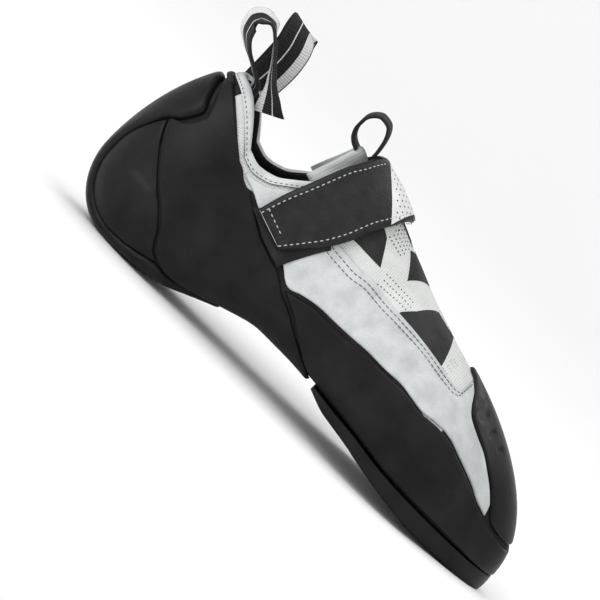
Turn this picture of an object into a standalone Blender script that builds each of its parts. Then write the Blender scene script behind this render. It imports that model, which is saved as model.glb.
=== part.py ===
"""Right climbing shoe: downturned last, one closure strap, rubber heel sling, rand and toe patch.

Metres, +Z up, +X towards the toe, +Y towards the inner (medial) side. The origin is the middle
of the heel's flat spot on the floor.
"""
import math
from collections import namedtuple
from functools import lru_cache

import bpy
from mathutils import Vector

MM = 0.001

# Driving sizes of the last, outside the textile skin.
LENGTH = 248 * MM
BALL_WIDTH = 90 * MM
INSTEP_HEIGHT = 102 * MM
HEEL_HEIGHT = 90 * MM

# Thicknesses and clearances.
WALL = 2.0 * MM
INSOLE = 2.0 * MM
RAND = 1.7 * MM
SLING = 1.7 * MM
CUP = 1.2 * MM
TREAD = 3.4 * MM
TOE_PATCH = 1.5 * MM
LEATHER = 1.1 * MM
SOLE_TOE = 8.4 * MM
SOLE_REAR = 3.6 * MM
STRAP = 2.4 * MM
STRAP_LIFT = 3.2 * MM
PATCH = 0.7 * MM
TONGUE = 2.2 * MM
TONGUE_GAP = 0.7 * MM
TONGUE_TUCK = 4.0 * MM
BINDING = 0.9 * MM
BINDING_LEG = 2.5 * MM
BAND = 1.0 * MM
WEBBING = 1.6 * MM
LOOP_WIDTH = 16 * MM
LOOP_RISE = 35 * MM
GAP = 0.32 * MM
SLING_GAP = 0.45 * MM
SKIN_DROP = 0.12 * MM   # the coarse facets of the upper lie this far inside the skin
SEAM = 0.5 * MM

# The outsole starts at this share of LENGTH and is thinned towards its rear end over the second.
SOLE_START = 0.43
SOLE_SKIVE = 0.12
# How far the outsole reaches out below the rand, as a share of the way to the widest line.
SOLE_REACH = 0.70

LATERAL = -1
MEDIAL = 1

# Where the fans of ribs at the heel and the toe turn, as shares of LENGTH from the origin.
HEEL_PIVOT = 0.07
TOE_PIVOT = 0.62

# The last seen from above: half widths from the centre line, as shares of BALL_WIDTH.
Plan = namedtuple("Plan", "along centre wide_lateral wide_medial foot_lateral foot_medial")
PLAN = [
    Plan(0.07, 0.000, 0.323, 0.323, 0.211, 0.211),
    Plan(0.16, 0.000, 0.329, 0.308, 0.189, 0.178),
    Plan(0.22, 0.000, 0.333, 0.289, 0.172, 0.150),
    Plan(0.30, 0.000, 0.356, 0.287, 0.189, 0.122),
    Plan(0.36, 0.006, 0.389, 0.294, 0.222, 0.128),
    Plan(0.42, 0.017, 0.433, 0.311, 0.283, 0.161),
    Plan(0.48, 0.040, 0.483, 0.333, 0.367, 0.217),
    Plan(0.54, 0.070, 0.528, 0.356, 0.444, 0.278),
    Plan(0.58, 0.090, 0.556, 0.368, 0.478, 0.305),
    Plan(0.62, 0.107, 0.567, 0.378, 0.500, 0.322),
]

# The last seen from the side: feather edge, widest line and collar or ridge, as shares of INSTEP_HEIGHT.
Profile = namedtuple("Profile", "along foot wide")
PROFILE = [
    Profile(0.07, 0.052, 0.275),
    Profile(0.11, 0.065, 0.275),
    Profile(0.16, 0.108, 0.280),
    Profile(0.22, 0.158, 0.294),
    Profile(0.30, 0.203, 0.314),
    Profile(0.36, 0.203, 0.324),
    Profile(0.42, 0.197, 0.314),
    Profile(0.48, 0.182, 0.294),
    Profile(0.54, 0.168, 0.270),
    Profile(0.58, 0.153, 0.252),
    Profile(0.62, 0.139, 0.234),
]

# The top line: half gap of the collar as a share of BALL_WIDTH, its height as a share of
# INSTEP_HEIGHT, and the arc in degrees through which a rib curls in on its way up to it.
Crest = namedtuple("Crest", "along reach height curl")
COLLAR = [
    Crest(0.07, 0.250, 0.690, 30),
    Crest(0.10, 0.247, 0.668, 30),
    Crest(0.13, 0.250, 0.682, 32),
    Crest(0.16, 0.255, 0.730, 36),
    Crest(0.19, 0.239, 0.792, 46),
    Crest(0.22, 0.172, 0.902, 62),
    Crest(0.25, 0.000, 1.000, 90),
    Crest(0.30, 0.000, 0.962, 90),
    Crest(0.36, 0.000, 0.892, 90),
    Crest(0.42, 0.000, 0.828, 90),
    Crest(0.48, 0.000, 0.763, 90),
    Crest(0.54, 0.000, 0.706, 90),
    Crest(0.58, 0.000, 0.673, 90),
    Crest(0.62, 0.000, 0.640, 90),
]
# The same ribs closed over the instep, for what lies inside and over the throat.
INSTEP = [
    Crest(0.07, 0.000, 1.160, 90),
    Crest(0.16, 0.000, 1.100, 90),
    Crest(0.22, 0.000, 1.036, 90),
] + [row for row in COLLAR if row.reach == 0]

# End ribs on the centre line: distances from the pivot as shares of LENGTH, heights as shares of
# INSTEP_HEIGHT, the sag of the underside as a share of it too, the drift of the tip to the medial
# side as a share of BALL_WIDTH, and how far the corner between end and side is drawn in.
End = namedtuple("End", "foot_reach foot wide_reach wide top_reach top curl sag drift pull_lateral pull_medial")
HEEL_END = End(0.085, 0.032, 0.1746, 0.299, 0.101, HEEL_HEIGHT / INSTEP_HEIGHT, 48, 0.008, 0.0, 0.0, 0.0)
TOE_END = End(0.245, 0.082, 0.2525, 0.093, 0.0, 0.640, 40, 0.012, 0.07, 0.14, -0.06)

WIDE_AT = 0.3       # place of the widest line on a rib
STEP = 0.004        # step of the differences that give the skin's normal


class Curve:
    """A smooth line through short table columns, without overshoot between its rows."""

    def __init__(self, xs, ys):
        self.xs = xs
        self.ys = ys
        spans = [b - a for a, b in zip(xs, xs[1:])]
        rises = [(b - a) / s for a, b, s in zip(ys, ys[1:], spans)]
        self.slopes = [rises[0]]
        for before, after in zip(rises, rises[1:]):
            flat = before * after <= 0
            self.slopes.append(0.0 if flat else 2 * before * after / (before + after))
        self.slopes.append(rises[-1])

    def __call__(self, x):
        x = min(max(x, self.xs[0]), self.xs[-1])
        i = 0
        while i < len(self.xs) - 2 and x > self.xs[i + 1]:
            i += 1
        span = self.xs[i + 1] - self.xs[i]
        t = (x - self.xs[i]) / span
        keep = 1 + t * t * (2 * t - 3)
        lean = t * (1 - t)
        start = self.ys[i] * keep + self.slopes[i] * span * lean * (1 - t)
        end = self.ys[i + 1] * (1 - keep) - self.slopes[i + 1] * span * lean * t
        return start + end


def columns(table):
    """One curve per named column of a table, over its first column."""
    names = table[0]._fields[1:]
    alongs = [row.along for row in table]
    return {name: Curve(alongs, [getattr(row, name) for row in table]) for name in names}


PLAN_AT = columns(PLAN)
PROFILE_AT = columns(PROFILE)
CREST_AT = {"collar": columns(COLLAR), "instep": columns(INSTEP)}

Rib = namedtuple("Rib", "foot_r foot_z wide_r wide_z top_r top_z curl")


@lru_cache(maxsize=None)
def side_rib(side, along, crest):
    """The rib at a share of the length, in metres from the centre line."""
    name = "lateral" if side == LATERAL else "medial"
    top = CREST_AT[crest]
    return Rib(
        PLAN_AT["foot_" + name](along) * BALL_WIDTH,
        PROFILE_AT["foot"](along) * INSTEP_HEIGHT,
        PLAN_AT["wide_" + name](along) * BALL_WIDTH,
        PROFILE_AT["wide"](along) * INSTEP_HEIGHT,
        top["reach"](along) * BALL_WIDTH,
        top["height"](along) * INSTEP_HEIGHT,
        math.radians(top["curl"](along)),
    )


def end_rib(end):
    """The heel's or the toe's rib on the centre line, in metres from its pivot."""
    return Rib(
        end.foot_reach * LENGTH,
        end.foot * INSTEP_HEIGHT,
        end.wide_reach * LENGTH,
        end.wide * INSTEP_HEIGHT,
        end.top_reach * LENGTH,
        end.top * INSTEP_HEIGHT,
        math.radians(end.curl),
    )


def on_rib(rib, h):
    """Distance and height at h: -1 under the middle, 0 at the feather edge, 1 at the top."""
    if h < 0:
        return rib.foot_r * (1 + h), rib.foot_z
    if h < WIDE_AT:
        angle = h / WIDE_AT * math.pi / 2
        reach = rib.foot_r + (rib.wide_r - rib.foot_r) * math.sin(angle)
        return reach, rib.wide_z - (rib.wide_z - rib.foot_z) * math.cos(angle)
    angle = (h - WIDE_AT) / (1 - WIDE_AT) * rib.curl
    run = (math.cos(angle) - math.cos(rib.curl)) / (1 - math.cos(rib.curl))
    rise = math.sin(angle) / math.sin(rib.curl)
    return rib.top_r + (rib.wide_r - rib.top_r) * run, rib.wide_z + (rib.top_z - rib.wide_z) * rise


def fan_point(side, pivot, end, away, turn, h, crest):
    """A point of the fan of ribs that closes the heel (away -1) or the toe (away 1)."""
    side_r, side_z = on_rib(side_rib(side, pivot, crest), h)
    end_r, end_z = on_rib(end_rib(end), h)
    pull = end.pull_lateral if side == LATERAL else end.pull_medial
    drawn = 1 - pull * math.sin(2 * turn) ** 2
    ahead = math.cos(turn)
    lifted = math.sin(math.pi / 2 * ahead)
    high = max(0.0, h) ** 2 if away < 0 else 0.0
    share = ahead + (lifted - ahead) * high
    depth = min(1.0, 1 + h)
    spread = end_r / (end.wide_reach * LENGTH)
    sag = 6.75 * end.sag * INSTEP_HEIGHT * depth * depth * (1 - depth) * ahead
    centre = (PLAN_AT["centre"](pivot) + end.drift * ahead * spread) * BALL_WIDTH
    return Vector((
        pivot * LENGTH + away * end_r * ahead * drawn,
        centre + side * side_r * math.sin(turn) * drawn,
        side_z + (end_z - side_z) * share * depth - sag,
    ))


def skin(side, u, h, crest="collar"):
    """The last's outer skin. u is 0 at the heel's back, 1 and 2 at the pivots and 3 at the toe's tip."""
    if u < 0:
        side, u = -side, -u
    if u > 3:
        side, u = -side, 6 - u
    if u < 1:
        return fan_point(side, HEEL_PIVOT, HEEL_END, -1, u * math.pi / 2, h, crest)
    if u > 2:
        return fan_point(side, TOE_PIVOT, TOE_END, 1, (3 - u) * math.pi / 2, h, crest)
    along = HEEL_PIVOT + (TOE_PIVOT - HEEL_PIVOT) * (u - 1)
    reach, height = on_rib(side_rib(side, along, crest), h)
    centre = PLAN_AT["centre"](along) * BALL_WIDTH
    return Vector((along * LENGTH, centre + side * reach, height))


def u_of(x):
    """The ring place of a length between the pivots."""
    return 1 + (x / LENGTH - HEEL_PIVOT) / (TOE_PIVOT - HEEL_PIVOT)


def normal(side, u, h, crest="collar"):
    """The outward direction of the skin."""
    ridge = h > 1 - STEP and u > 0.5 and skin(LATERAL, u, 1, crest).y - skin(MEDIAL, u, 1, crest).y > -MM * 0.01
    if ridge or h < STEP - 1:
        level = 1 if h > 0 else -1
        if u <= 1:
            run = skin(side, 1 + STEP, level, crest) - skin(side, 0.1, level * 0.9, crest)
        elif u >= 2:
            run = skin(side, 2.9, level * 0.9, crest) - skin(side, 2 - STEP, level, crest)
        else:
            run = skin(side, u + STEP, level, crest) - skin(side, u - STEP, level, crest)
        return Vector((-run.z * level, 0, run.x * level)).normalized()
    high = min(h + STEP, 1.0)
    along = skin(side, u + STEP, min(h, 1 - STEP), crest) - skin(side, u - STEP, min(h, 1 - STEP), crest)
    up = skin(side, u, high, crest) - skin(side, u, high - 2 * STEP, crest)
    return (along.cross(up) * -side).normalized()


def at(place, distance, crest="collar"):
    """A point at a distance outside the skin."""
    return skin(*place, crest) + normal(*place, crest) * distance


def new_object(name, points, faces, material):
    mesh = bpy.data.meshes.new(name)
    mesh.from_pydata(points, [], faces)
    mesh.materials.append(material)
    mesh.shade_smooth()
    mesh.set_sharp_from_angle(angle=math.radians(40))
    solid = bpy.data.objects.new(name, mesh)
    bpy.context.collection.objects.link(solid)
    return solid


def closed_sheet(name, material, rows, low, high):
    """A closed solid between two point functions over rows of places, with a rim all round."""
    index = {}
    places = []
    grid = []
    for row in rows:
        line = []
        for place in row:
            key = tuple(round(value / (MM * 0.01)) for value in high(place))
            if key not in index:
                index[key] = len(places)
                places.append(place)
            line.append(index[key])
        grid.append(line)
    tops = [high(place) for place in places]
    faces = []
    for row, after in zip(grid, grid[1:]):
        for a, b, c, d in zip(row, row[1:], after[1:], after):
            if (tops[a] - tops[c]).length < (tops[b] - tops[d]).length:
                halves = ([a, b, c], [a, c, d])
            else:
                halves = ([a, b, d], [b, c, d])
            faces += [half for half in halves if len(set(half)) == 3]
    edges = {}
    for face in faces:
        for a, b in zip(face, face[1:] + face[:1]):
            edges[a, b] = edges.get((a, b), 0) + 1
    count = len(places)
    points = tops + [low(place) for place in places]
    under = [[v + count for v in reversed(face)] for face in faces]
    rim = []
    for a, b in edges:
        if (b, a) not in edges:
            rim += [[b, a, a + count], [b, a + count, b + count]]
    middle = sum(points[:count], Vector()) / count
    solid = new_object(name, points, faces + under + rim, material)
    if signed_volume(points, faces + under + rim, middle) < 0:
        solid.data.flip_normals()
    return solid


def signed_volume(points, faces, middle):
    total = 0.0
    for face in faces:
        a = points[face[0]] - middle
        for v, w in zip(face[1:], face[2:]):
            total += a.dot((points[v] - middle).cross(points[w] - middle))
    return total


def shell(name, material, rows, inner, outer, crest="collar"):
    """A sheet of even thickness on the skin."""
    return closed_sheet(name, material, rows,
                        lambda place: at(place, inner, crest),
                        lambda place: at(place, outer, crest))


def steps(start, end, count):
    return [start + (end - start) * i / count for i in range(count + 1)]


def make_material(name, colour, roughness, metallic=0.0):
    material = bpy.data.materials.new(name)
    material.use_nodes = True
    surface = material.node_tree.nodes["Principled BSDF"]
    surface.inputs["Base Color"].default_value = (*colour, 1)
    surface.inputs["Roughness"].default_value = roughness
    surface.inputs["Metallic"].default_value = metallic
    material.diffuse_color = (*colour, 1)
    return material


Edge = namedtuple("Edge", "ring climb")
Strip = namedtuple("Strip", "ring climb middle_ring middle_climb")

# Border lines on the last. ring runs 0 at the heel's back, 1 and 2 at the pivots, 3 at the toe's
# tip; climb runs -1 under the middle, 0 at the feather edge, 1 at the collar or the ridge.
SLING_REAR = [
    Edge(0.00, 0.925), Edge(0.14, 0.915), Edge(0.30, 0.870), Edge(0.36, 0.848), Edge(0.42, 0.825),
    Edge(0.49, 0.790), Edge(0.54, 0.750), Edge(0.52, 0.690), Edge(0.48, 0.640), Edge(0.42, 0.610),
    Edge(0.36, 0.590), Edge(0.50, 0.507), Edge(0.63, 0.430), Edge(0.80, 0.320), Edge(0.92, 0.250),
    Edge(0.98, 0.190), Edge(1.03, 0.130), Edge(1.10, 0.085), Edge(1.19, 0.040), Edge(1.23, -0.030),
    Edge(1.27, -0.100), Edge(1.32, -0.220), Edge(1.38, -0.350), Edge(1.435, -0.350), Edge(1.49, -0.350),
    Edge(1.545, -0.350), Edge(1.60, -0.350),
]
SLING_FRONT = [
    Edge(0.00, 0.965), Edge(0.14, 0.962), Edge(0.35, 0.950), Edge(0.51, 0.935), Edge(0.67, 0.920),
    Edge(0.76, 0.916), Edge(0.85, 0.912), Edge(0.94, 0.914), Edge(1.02, 0.915), Edge(1.06, 0.870),
    Edge(1.10, 0.820), Edge(1.12, 0.775), Edge(1.14, 0.730), Edge(1.22, 0.550), Edge(1.32, 0.390),
    Edge(1.35, 0.370), Edge(1.38, 0.350), Edge(1.46, 0.310), Edge(1.51, 0.250), Edge(1.535, 0.220),
    Edge(1.56, 0.190), Edge(1.585, 0.155), Edge(1.61, 0.120), Edge(1.615, 0.105), Edge(1.62, 0.090),
    Edge(1.625, 0.075), Edge(1.63, 0.060),
]
CUP_LOWER = [
    Edge(1.03, 0.110), Edge(0.92, 0.090), Edge(0.72, 0.070), Edge(0.50, 0.070), Edge(0.33, 0.100),
    Edge(0.22, 0.150), Edge(0.17, 0.200), Edge(0.15, 0.260), Edge(0.15, 0.320), Edge(0.18, 0.400),
    Edge(0.27, 0.500), Edge(0.345, 0.580),
]
CUP_UPPER = [
    Edge(1.030, 0.130), Edge(0.975, 0.190), Edge(0.920, 0.250), Edge(0.860, 0.285), Edge(0.800, 0.320),
    Edge(0.745, 0.356), Edge(0.690, 0.392), Edge(0.630, 0.430), Edge(0.560, 0.471), Edge(0.500, 0.507),
    Edge(0.430, 0.548), Edge(0.370, 0.584),
]
TREAD_STRIPS = [
    Strip(1.27, -0.160, 1.27, -1.00), Strip(1.23, -0.080, 1.23, -1.00), Strip(1.19, 0.000, 1.19, -1.00),
    Strip(1.10, 0.060, 1.10, -1.00),
    Strip(1.03, 0.110, 1.02, -1.00), Strip(0.92, 0.090, 0.00, -0.92), Strip(0.82, 0.080, 0.00, -0.75),
    Strip(0.72, 0.070, 0.00, -0.60), Strip(0.61, 0.070, 0.00, -0.45), Strip(0.50, 0.070, 0.00, -0.30),
    Strip(0.42, 0.080, 0.00, -0.15), Strip(0.37, 0.090, 0.00, -0.07), Strip(0.33, 0.100, 0.00, 0.00),
    Strip(0.27, 0.125, 0.00, 0.055), Strip(0.22, 0.150, 0.00, 0.11),
    Strip(0.17, 0.200, 0.00, 0.19), Strip(0.15, 0.260, 0.00, 0.26), Strip(0.15, 0.320, 0.00, 0.32),
    Strip(0.18, 0.400, 0.00, 0.40), Strip(0.27, 0.500, 0.00, 0.50), Strip(0.33, 0.575, 0.00, 0.58),
    Strip(0.44, 0.645, 0.00, 0.66), Strip(0.50, 0.750, 0.00, 0.75), Strip(0.39, 0.810, 0.00, 0.82),
    Strip(0.26, 0.860, 0.00, 0.87), Strip(0.12, 0.905, 0.00, 0.91),
]
RAND_TOP = [
    Edge(1.385, 0.360), Edge(1.42, 0.370), Edge(1.49, 0.385), Edge(1.56, 0.395), Edge(1.60, 0.405),
    Edge(1.64, 0.415), Edge(1.71, 0.440), Edge(1.78, 0.460), Edge(1.86, 0.490), Edge(1.90, 0.500), Edge(1.94, 0.502),
    Edge(2.00, 0.530), Edge(2.06, 0.545), Edge(2.12, 0.550), Edge(2.21, 0.540), Edge(2.31, 0.530),
    Edge(2.43, 0.515), Edge(2.53, 0.490), Edge(2.62, 0.475), Edge(2.70, 0.465), Edge(2.80, 0.450),
    Edge(2.90, 0.440), Edge(3.00, 0.435),
]
RAND_FOOT = [
    Edge(1.39, 0.350), Edge(1.42, 0.335), Edge(1.47, 0.305), Edge(1.52, 0.240), Edge(1.57, 0.175),
    Edge(1.60, 0.140), Edge(1.63, 0.115), Edge(1.72, 0.100), Edge(1.80, 0.100), Edge(1.86, 0.100), Edge(1.92, 0.100),
    Edge(2.00, 0.105), Edge(2.06, 0.115), Edge(2.12, 0.125), Edge(2.21, 0.140), Edge(2.31, 0.155),
    Edge(2.43, 0.175), Edge(2.53, 0.190), Edge(2.62, 0.200), Edge(2.70, 0.200), Edge(2.80, 0.200),
    Edge(2.90, 0.200), Edge(3.00, 0.200),
]
TOE_STRIPS = [
    Strip(1.975, 0.970, 1.965, 1.00), Strip(2.02, 0.930, 2.00, 1.00), Strip(2.10, 0.870, 3.00, 0.97),
    Strip(2.145, 0.780, 3.00, 0.93), Strip(2.18, 0.740, 3.00, 0.90), Strip(2.30, 0.710, 3.00, 0.84),
    Strip(2.44, 0.690, 3.00, 0.77), Strip(2.55, 0.650, 3.00, 0.70), Strip(2.62, 0.600, 3.00, 0.63),
    Strip(2.66, 0.540, 3.00, 0.57), Strip(2.70, 0.480, 3.00, 0.50), Strip(2.80, 0.460, 3.00, 0.455),
]
QUARTER_STRIPS = [
    Strip(1.04, 0.925, 1.04, 0.905),
    Strip(1.10, 0.925, 1.10, 0.835), Strip(1.15, 0.925, 1.145, 0.740), Strip(1.20, 0.900, 1.22, 0.565),
    Strip(1.26, 0.750, 1.30, 0.430), Strip(1.33, 0.630, 1.385, 0.368), Strip(1.40, 0.570, 1.43, 0.380),
    Strip(1.49, 0.580, 1.49, 0.393), Strip(1.56, 0.610, 1.56, 0.403), Strip(1.64, 0.630, 1.64, 0.423),
    Strip(1.71, 0.660, 1.71, 0.448), Strip(1.78, 0.690, 1.78, 0.468), Strip(1.86, 0.715, 1.86, 0.498),
    Strip(1.93, 0.730, 1.93, 0.510), Strip(1.97, 0.740, 1.965, 0.520), Strip(2.00, 0.770, 2.00, 0.538),
    Strip(2.02, 0.890, 2.03, 0.548), Strip(2.05, 0.875, 2.07, 0.554),
    Strip(2.09, 0.850, 2.13, 0.558), Strip(2.13, 0.770, 2.17, 0.555), Strip(2.17, 0.730, 2.22, 0.548),
    Strip(2.30, 0.700, 2.31, 0.538), Strip(2.44, 0.680, 2.43, 0.523), Strip(2.54, 0.635, 2.53, 0.498),
    Strip(2.61, 0.585, 2.59, 0.488), Strip(2.65, 0.530, 2.64, 0.480),
]


STRAP_REAR = [
    Edge(1.145, 0.45), Edge(1.17, 0.52), Edge(1.20, 0.59), Edge(1.225, 0.66), Edge(1.25, 0.74),
    Edge(1.27, 0.80), Edge(1.285, 0.87), Edge(1.30, 0.94), Edge(1.31, 1.00),
]
STRAP_FRONT = [
    Edge(1.28, 0.42), Edge(1.34, 0.48), Edge(1.39, 0.54), Edge(1.425, 0.61), Edge(1.45, 0.70),
    Edge(1.475, 0.79), Edge(1.49, 0.87), Edge(1.50, 0.94), Edge(1.51, 1.00),
]
TONGUE_REAR = [
    Edge(1.18, 0.62), Edge(1.20, 0.68), Edge(1.22, 0.75), Edge(1.235, 0.83), Edge(1.245, 0.91),
    Edge(1.25, 1.00),
]
TONGUE_FRONT = [
    Edge(1.44, 0.60), Edge(1.45, 0.66), Edge(1.46, 0.74), Edge(1.46, 0.83), Edge(1.46, 0.91),
    Edge(1.46, 1.00),
]
PATCH_LOWER = [Edge(1.160, 0.715), Edge(1.205, 0.625), Edge(1.265, 0.505), Edge(1.328, 0.400)]
PATCH_UPPER = [Edge(1.205, 0.775), Edge(1.265, 0.680), Edge(1.330, 0.600), Edge(1.400, 0.535)]

# A ribbon's path, as shares of LOOP_RISE from its base, and how its width lies from above.
Ribbon = namedtuple("Ribbon", "x y z turn bank", defaults=(0,))
FRONT_LOOP = [
    Ribbon(-0.035, 0.00, 0.115, 0), Ribbon(-0.10, 0.00, 0.12, 0), Ribbon(-0.17, 0.00, 0.16, 0),
    Ribbon(-0.205, 0.00, 0.24, 0), Ribbon(-0.20, 0.00, 0.36, 0), Ribbon(-0.15, 0.00, 0.46, 0),
    Ribbon(-0.05, 0.00, 0.52, 0), Ribbon(0.06, 0.00, 0.50, 0), Ribbon(0.14, 0.00, 0.40, 0),
    Ribbon(0.18, 0.00, 0.26, 0), Ribbon(0.195, 0.00, 0.14, 0), Ribbon(0.195, 0.00, 0.10, 0),
]
NEAR_LOOP = [
    Ribbon(0.00, 0.00, 0.00, -15), Ribbon(-0.02, -0.01, 0.19, -15), Ribbon(-0.20, -0.04, 0.33, -15),
    Ribbon(-0.43, -0.09, 0.47, -20), Ribbon(-0.57, -0.14, 0.62, -26, 2), Ribbon(-0.60, -0.18, 0.76, -25, 4),
    Ribbon(-0.53, -0.22, 0.87, -22, 7), Ribbon(-0.40, -0.27, 0.90, -19, 9), Ribbon(-0.24, -0.32, 0.79, -16, 6),
    Ribbon(-0.07, -0.37, 0.60, -14, 3), Ribbon(0.07, -0.40, 0.42, -20), Ribbon(0.22, -0.38, 0.24, -45),
    Ribbon(0.33, -0.34, 0.08, -75),
]
FAR_LOOP = [
    Ribbon(0.00, 0.00, 0.00, 74), Ribbon(0.00, 0.00, 0.33, 74), Ribbon(-0.01, 0.00, 0.70, 74),
    Ribbon(-0.05, -0.03, 0.93, 74, -8), Ribbon(-0.07, -0.15, 1.03, 74, -15), Ribbon(-0.03, -0.28, 0.93, 74, -10),
    Ribbon(0.03, -0.32, 0.74, 74, -5), Ribbon(0.05, -0.33, 0.50, 74), Ribbon(0.03, -0.33, 0.185, 74),
]


def between(table, per):
    """A table's rows with even smooth steps between each row and the next."""
    knots = list(range(len(table)))
    lines = [Curve(knots, list(column)) for column in zip(*table)]
    return [[line(i / per) for line in lines] for i in range((len(table) - 1) * per + 1)]


def band_rows(side, border, other, per, across, seam=0.0):
    """Rows of places between two border lines, drawn back from both by a seam."""
    rows = []
    for a, b in zip(between(border, per), between(other, per)):
        width = (skin(side, *a) - skin(side, *b)).length
        trim = min(0.4, seam / max(width, MM * 0.1))
        rows.append([(side, a[0] + (b[0] - a[0]) * t, a[1] + (b[1] - a[1]) * t)
                     for t in steps(trim, 1 - trim, across)])
    return rows


def strip_rows(strips, across, sides=(LATERAL, MEDIAL)):
    """Rows that run from one side's border to the middle and on to the other side's border."""
    rows = []
    for ring, climb, middle_ring, middle_climb in strips:
        halves = [[(side, ring + (middle_ring - ring) * t, climb + (middle_climb - climb) * t)
                   for t in across] for side in sides]
        rows.append(halves[0] + (halves[1][::-1][1:] if len(halves) > 1 else []))
    return rows


def build_upper(material):
    ring = steps(0, 1, 8) + steps(1, 2, 20)[1:] + steps(2, 3, 9)[1:]
    heights = [-0.30] + steps(0, WIDE_AT, 3) + steps(WIDE_AT, 1, 8)[1:]
    rows = [[(LATERAL, u, h) for h in heights] for u in ring]
    rows += [[(MEDIAL, u, h) for h in heights] for u in reversed(ring)]
    shell("upper", material, rows, -WALL, -SKIN_DROP)


def build_insole(material):
    ring = steps(0, 1, 8) + steps(1, 2, 20)[1:] + steps(2, 3, 9)[1:]
    half = [-1.0, -0.3, -0.1]
    rows = [[(LATERAL, u, h) for h in reversed(half)] + [(MEDIAL, u, h) for h in half[1:]] for u in ring]
    shell("insole", material, rows, -WALL - GAP - INSOLE, -WALL - GAP)


def sole_point(place, under):
    """A point of the outsole: its top follows the last, its underside is a thickness below."""
    side, u, h = place
    start = u_of(SOLE_START * LENGTH)
    if h <= 0:
        point = skin(side, u, h)
    else:
        edge = skin(side, u, 0.0)
        wide = skin(side, u, WIDE_AT)
        out = wide - edge
        out.z = 0
        point = edge + out * (h * SOLE_REACH) + out.normalized() * RAND * h
    point.z -= GAP
    if under:
        share = min(1.0, (u - start) / (2.25 - start))
        skive = min(1.0, (u - start) / (u_of(SOLE_SKIVE * LENGTH) - 1))
        thick = SOLE_REAR + (SOLE_TOE - SOLE_REAR) * share
        thick *= 0.45 + 0.55 * math.sin(math.pi / 2 * skive)
        point.z = max(0.0, point.z - thick)
    return point


def build_outsole(material):
    start = u_of(SOLE_START * LENGTH)
    ring = steps(start, 2, 10) + steps(2, 3, 9)[1:]
    half = [-1.0, -0.65, -0.3, -0.12, 0.0, 1.0]
    rows = [[(LATERAL, u, h) for h in reversed(half)] + [(MEDIAL, u, h) for h in half[1:]] for u in ring]
    closed_sheet("outsole", material, rows,
                 lambda place: sole_point(place, True),
                 lambda place: sole_point(place, False))


def tread_point(place):
    point = at(place, GAP + TREAD)
    point.z = max(0.0, point.z)
    return point


def rand_point(place, distance):
    """A point of the rand, which stops on the outsole."""
    point = at(place, distance)
    side, u, h = place
    if u > u_of(SOLE_START * LENGTH) - 0.03:
        point.z = max(point.z, skin(side, u, 0.0).z)
    return point


def build_rubber(material):
    """The heel tread, the heel's cups, the sling, the rand and the toe patch."""
    closed_sheet("heel_tread", material, strip_rows(TREAD_STRIPS, (0, 0.10, 0.22, 0.42, 0.70, 1)),
                 lambda place: at(place, GAP), tread_point)
    arch = [[(LATERAL, u, h) for h in (-0.38, -0.7, -1.0)] + [(MEDIAL, u, h) for h in (-0.7, -0.38)]
            for u in steps(1.285, 1.60, 6)]
    shell("arch_band", material, arch, GAP, GAP + SLING)
    for side, name in ((LATERAL, "lateral"), (MEDIAL, "medial")):
        cup = band_rows(side, CUP_LOWER, CUP_UPPER, 1, 4, 1.4 * SEAM)
        shell("heel_cup_" + name, material, cup[1:], GAP, GAP + CUP)
        sling = band_rows(side, SLING_REAR, SLING_FRONT, 1, 6, SEAM)
        shell("sling_" + name, material, sling[1:], SLING_GAP, SLING_GAP + SLING)
    lateral, medial = (band_rows(side, RAND_FOOT, RAND_TOP, 1, 4, SEAM) for side in (LATERAL, MEDIAL))
    closed_sheet("rand", material, lateral[1:] + medial[1:-1][::-1],
                 lambda place: rand_point(place, GAP), lambda place: rand_point(place, GAP + RAND))
    shell("toe_patch", material, strip_rows(TOE_STRIPS, steps(0, 1, 4)), GAP, GAP + TOE_PATCH)


def build_strap(strap, hooks):
    """The strap over the instep and the hook patch under its free end."""
    rows = []
    for side in (LATERAL, MEDIAL):
        half = band_rows(side, STRAP_REAR, STRAP_FRONT, 1, 4)
        rows += half if side == LATERAL else half[:-1][::-1]
    shell("strap", strap, rows, STRAP_LIFT, STRAP_LIFT + STRAP, "instep")
    patch = band_rows(LATERAL, PATCH_LOWER, PATCH_UPPER, 2, 3)
    base = GAP + LEATHER + 1.5 * GAP
    shell("closure_patch", hooks, patch, base, base + PATCH)


# Where the collar's edge passes on the ribs closed over the instep.
THROAT = Curve([1.17, 1.22, 1.27, 1.30, 1.33], [0.60, 0.66, 0.77, 0.88, 1.00])


def tongue_point(place, distance):
    """The tongue follows the closed instep and tucks in at its sides, inside the collar."""
    side, u, h = place
    under = (THROAT(u) + 0.15 - h) / 0.12
    fade = (1.42 - u) / 0.08
    tuck = min(1.0, max(0.0, under)) * min(1.0, max(0.0, fade))
    return at(place, distance - TONGUE_TUCK * tuck, "instep")


def build_tongue(material):
    rows = []
    for side in (LATERAL, MEDIAL):
        half = band_rows(side, TONGUE_REAR, TONGUE_FRONT, 1, 6)
        rows += half if side == LATERAL else half[:-1][::-1]
    closed_sheet("tongue", material, rows,
                 lambda place: tongue_point(place, -WALL - TONGUE_GAP - TONGUE),
                 lambda place: tongue_point(place, -WALL - TONGUE_GAP))


def binding_point(place, extra):
    """A point of the folded edge band: 0 and 3 are its two feet, 1 and 2 its fold."""
    side, u, corner = place
    top = skin(side, u, 1.0)
    out = normal(side, u, 1.0)
    up = (top - skin(side, u, 0.97)).normalized()
    off = 1.4 * GAP + extra
    if corner in (0, 1):
        top = top + out * off
    else:
        top = top - out * (WALL + off)
    return top + up * (off if corner in (1, 2) else -BINDING_LEG)


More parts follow.
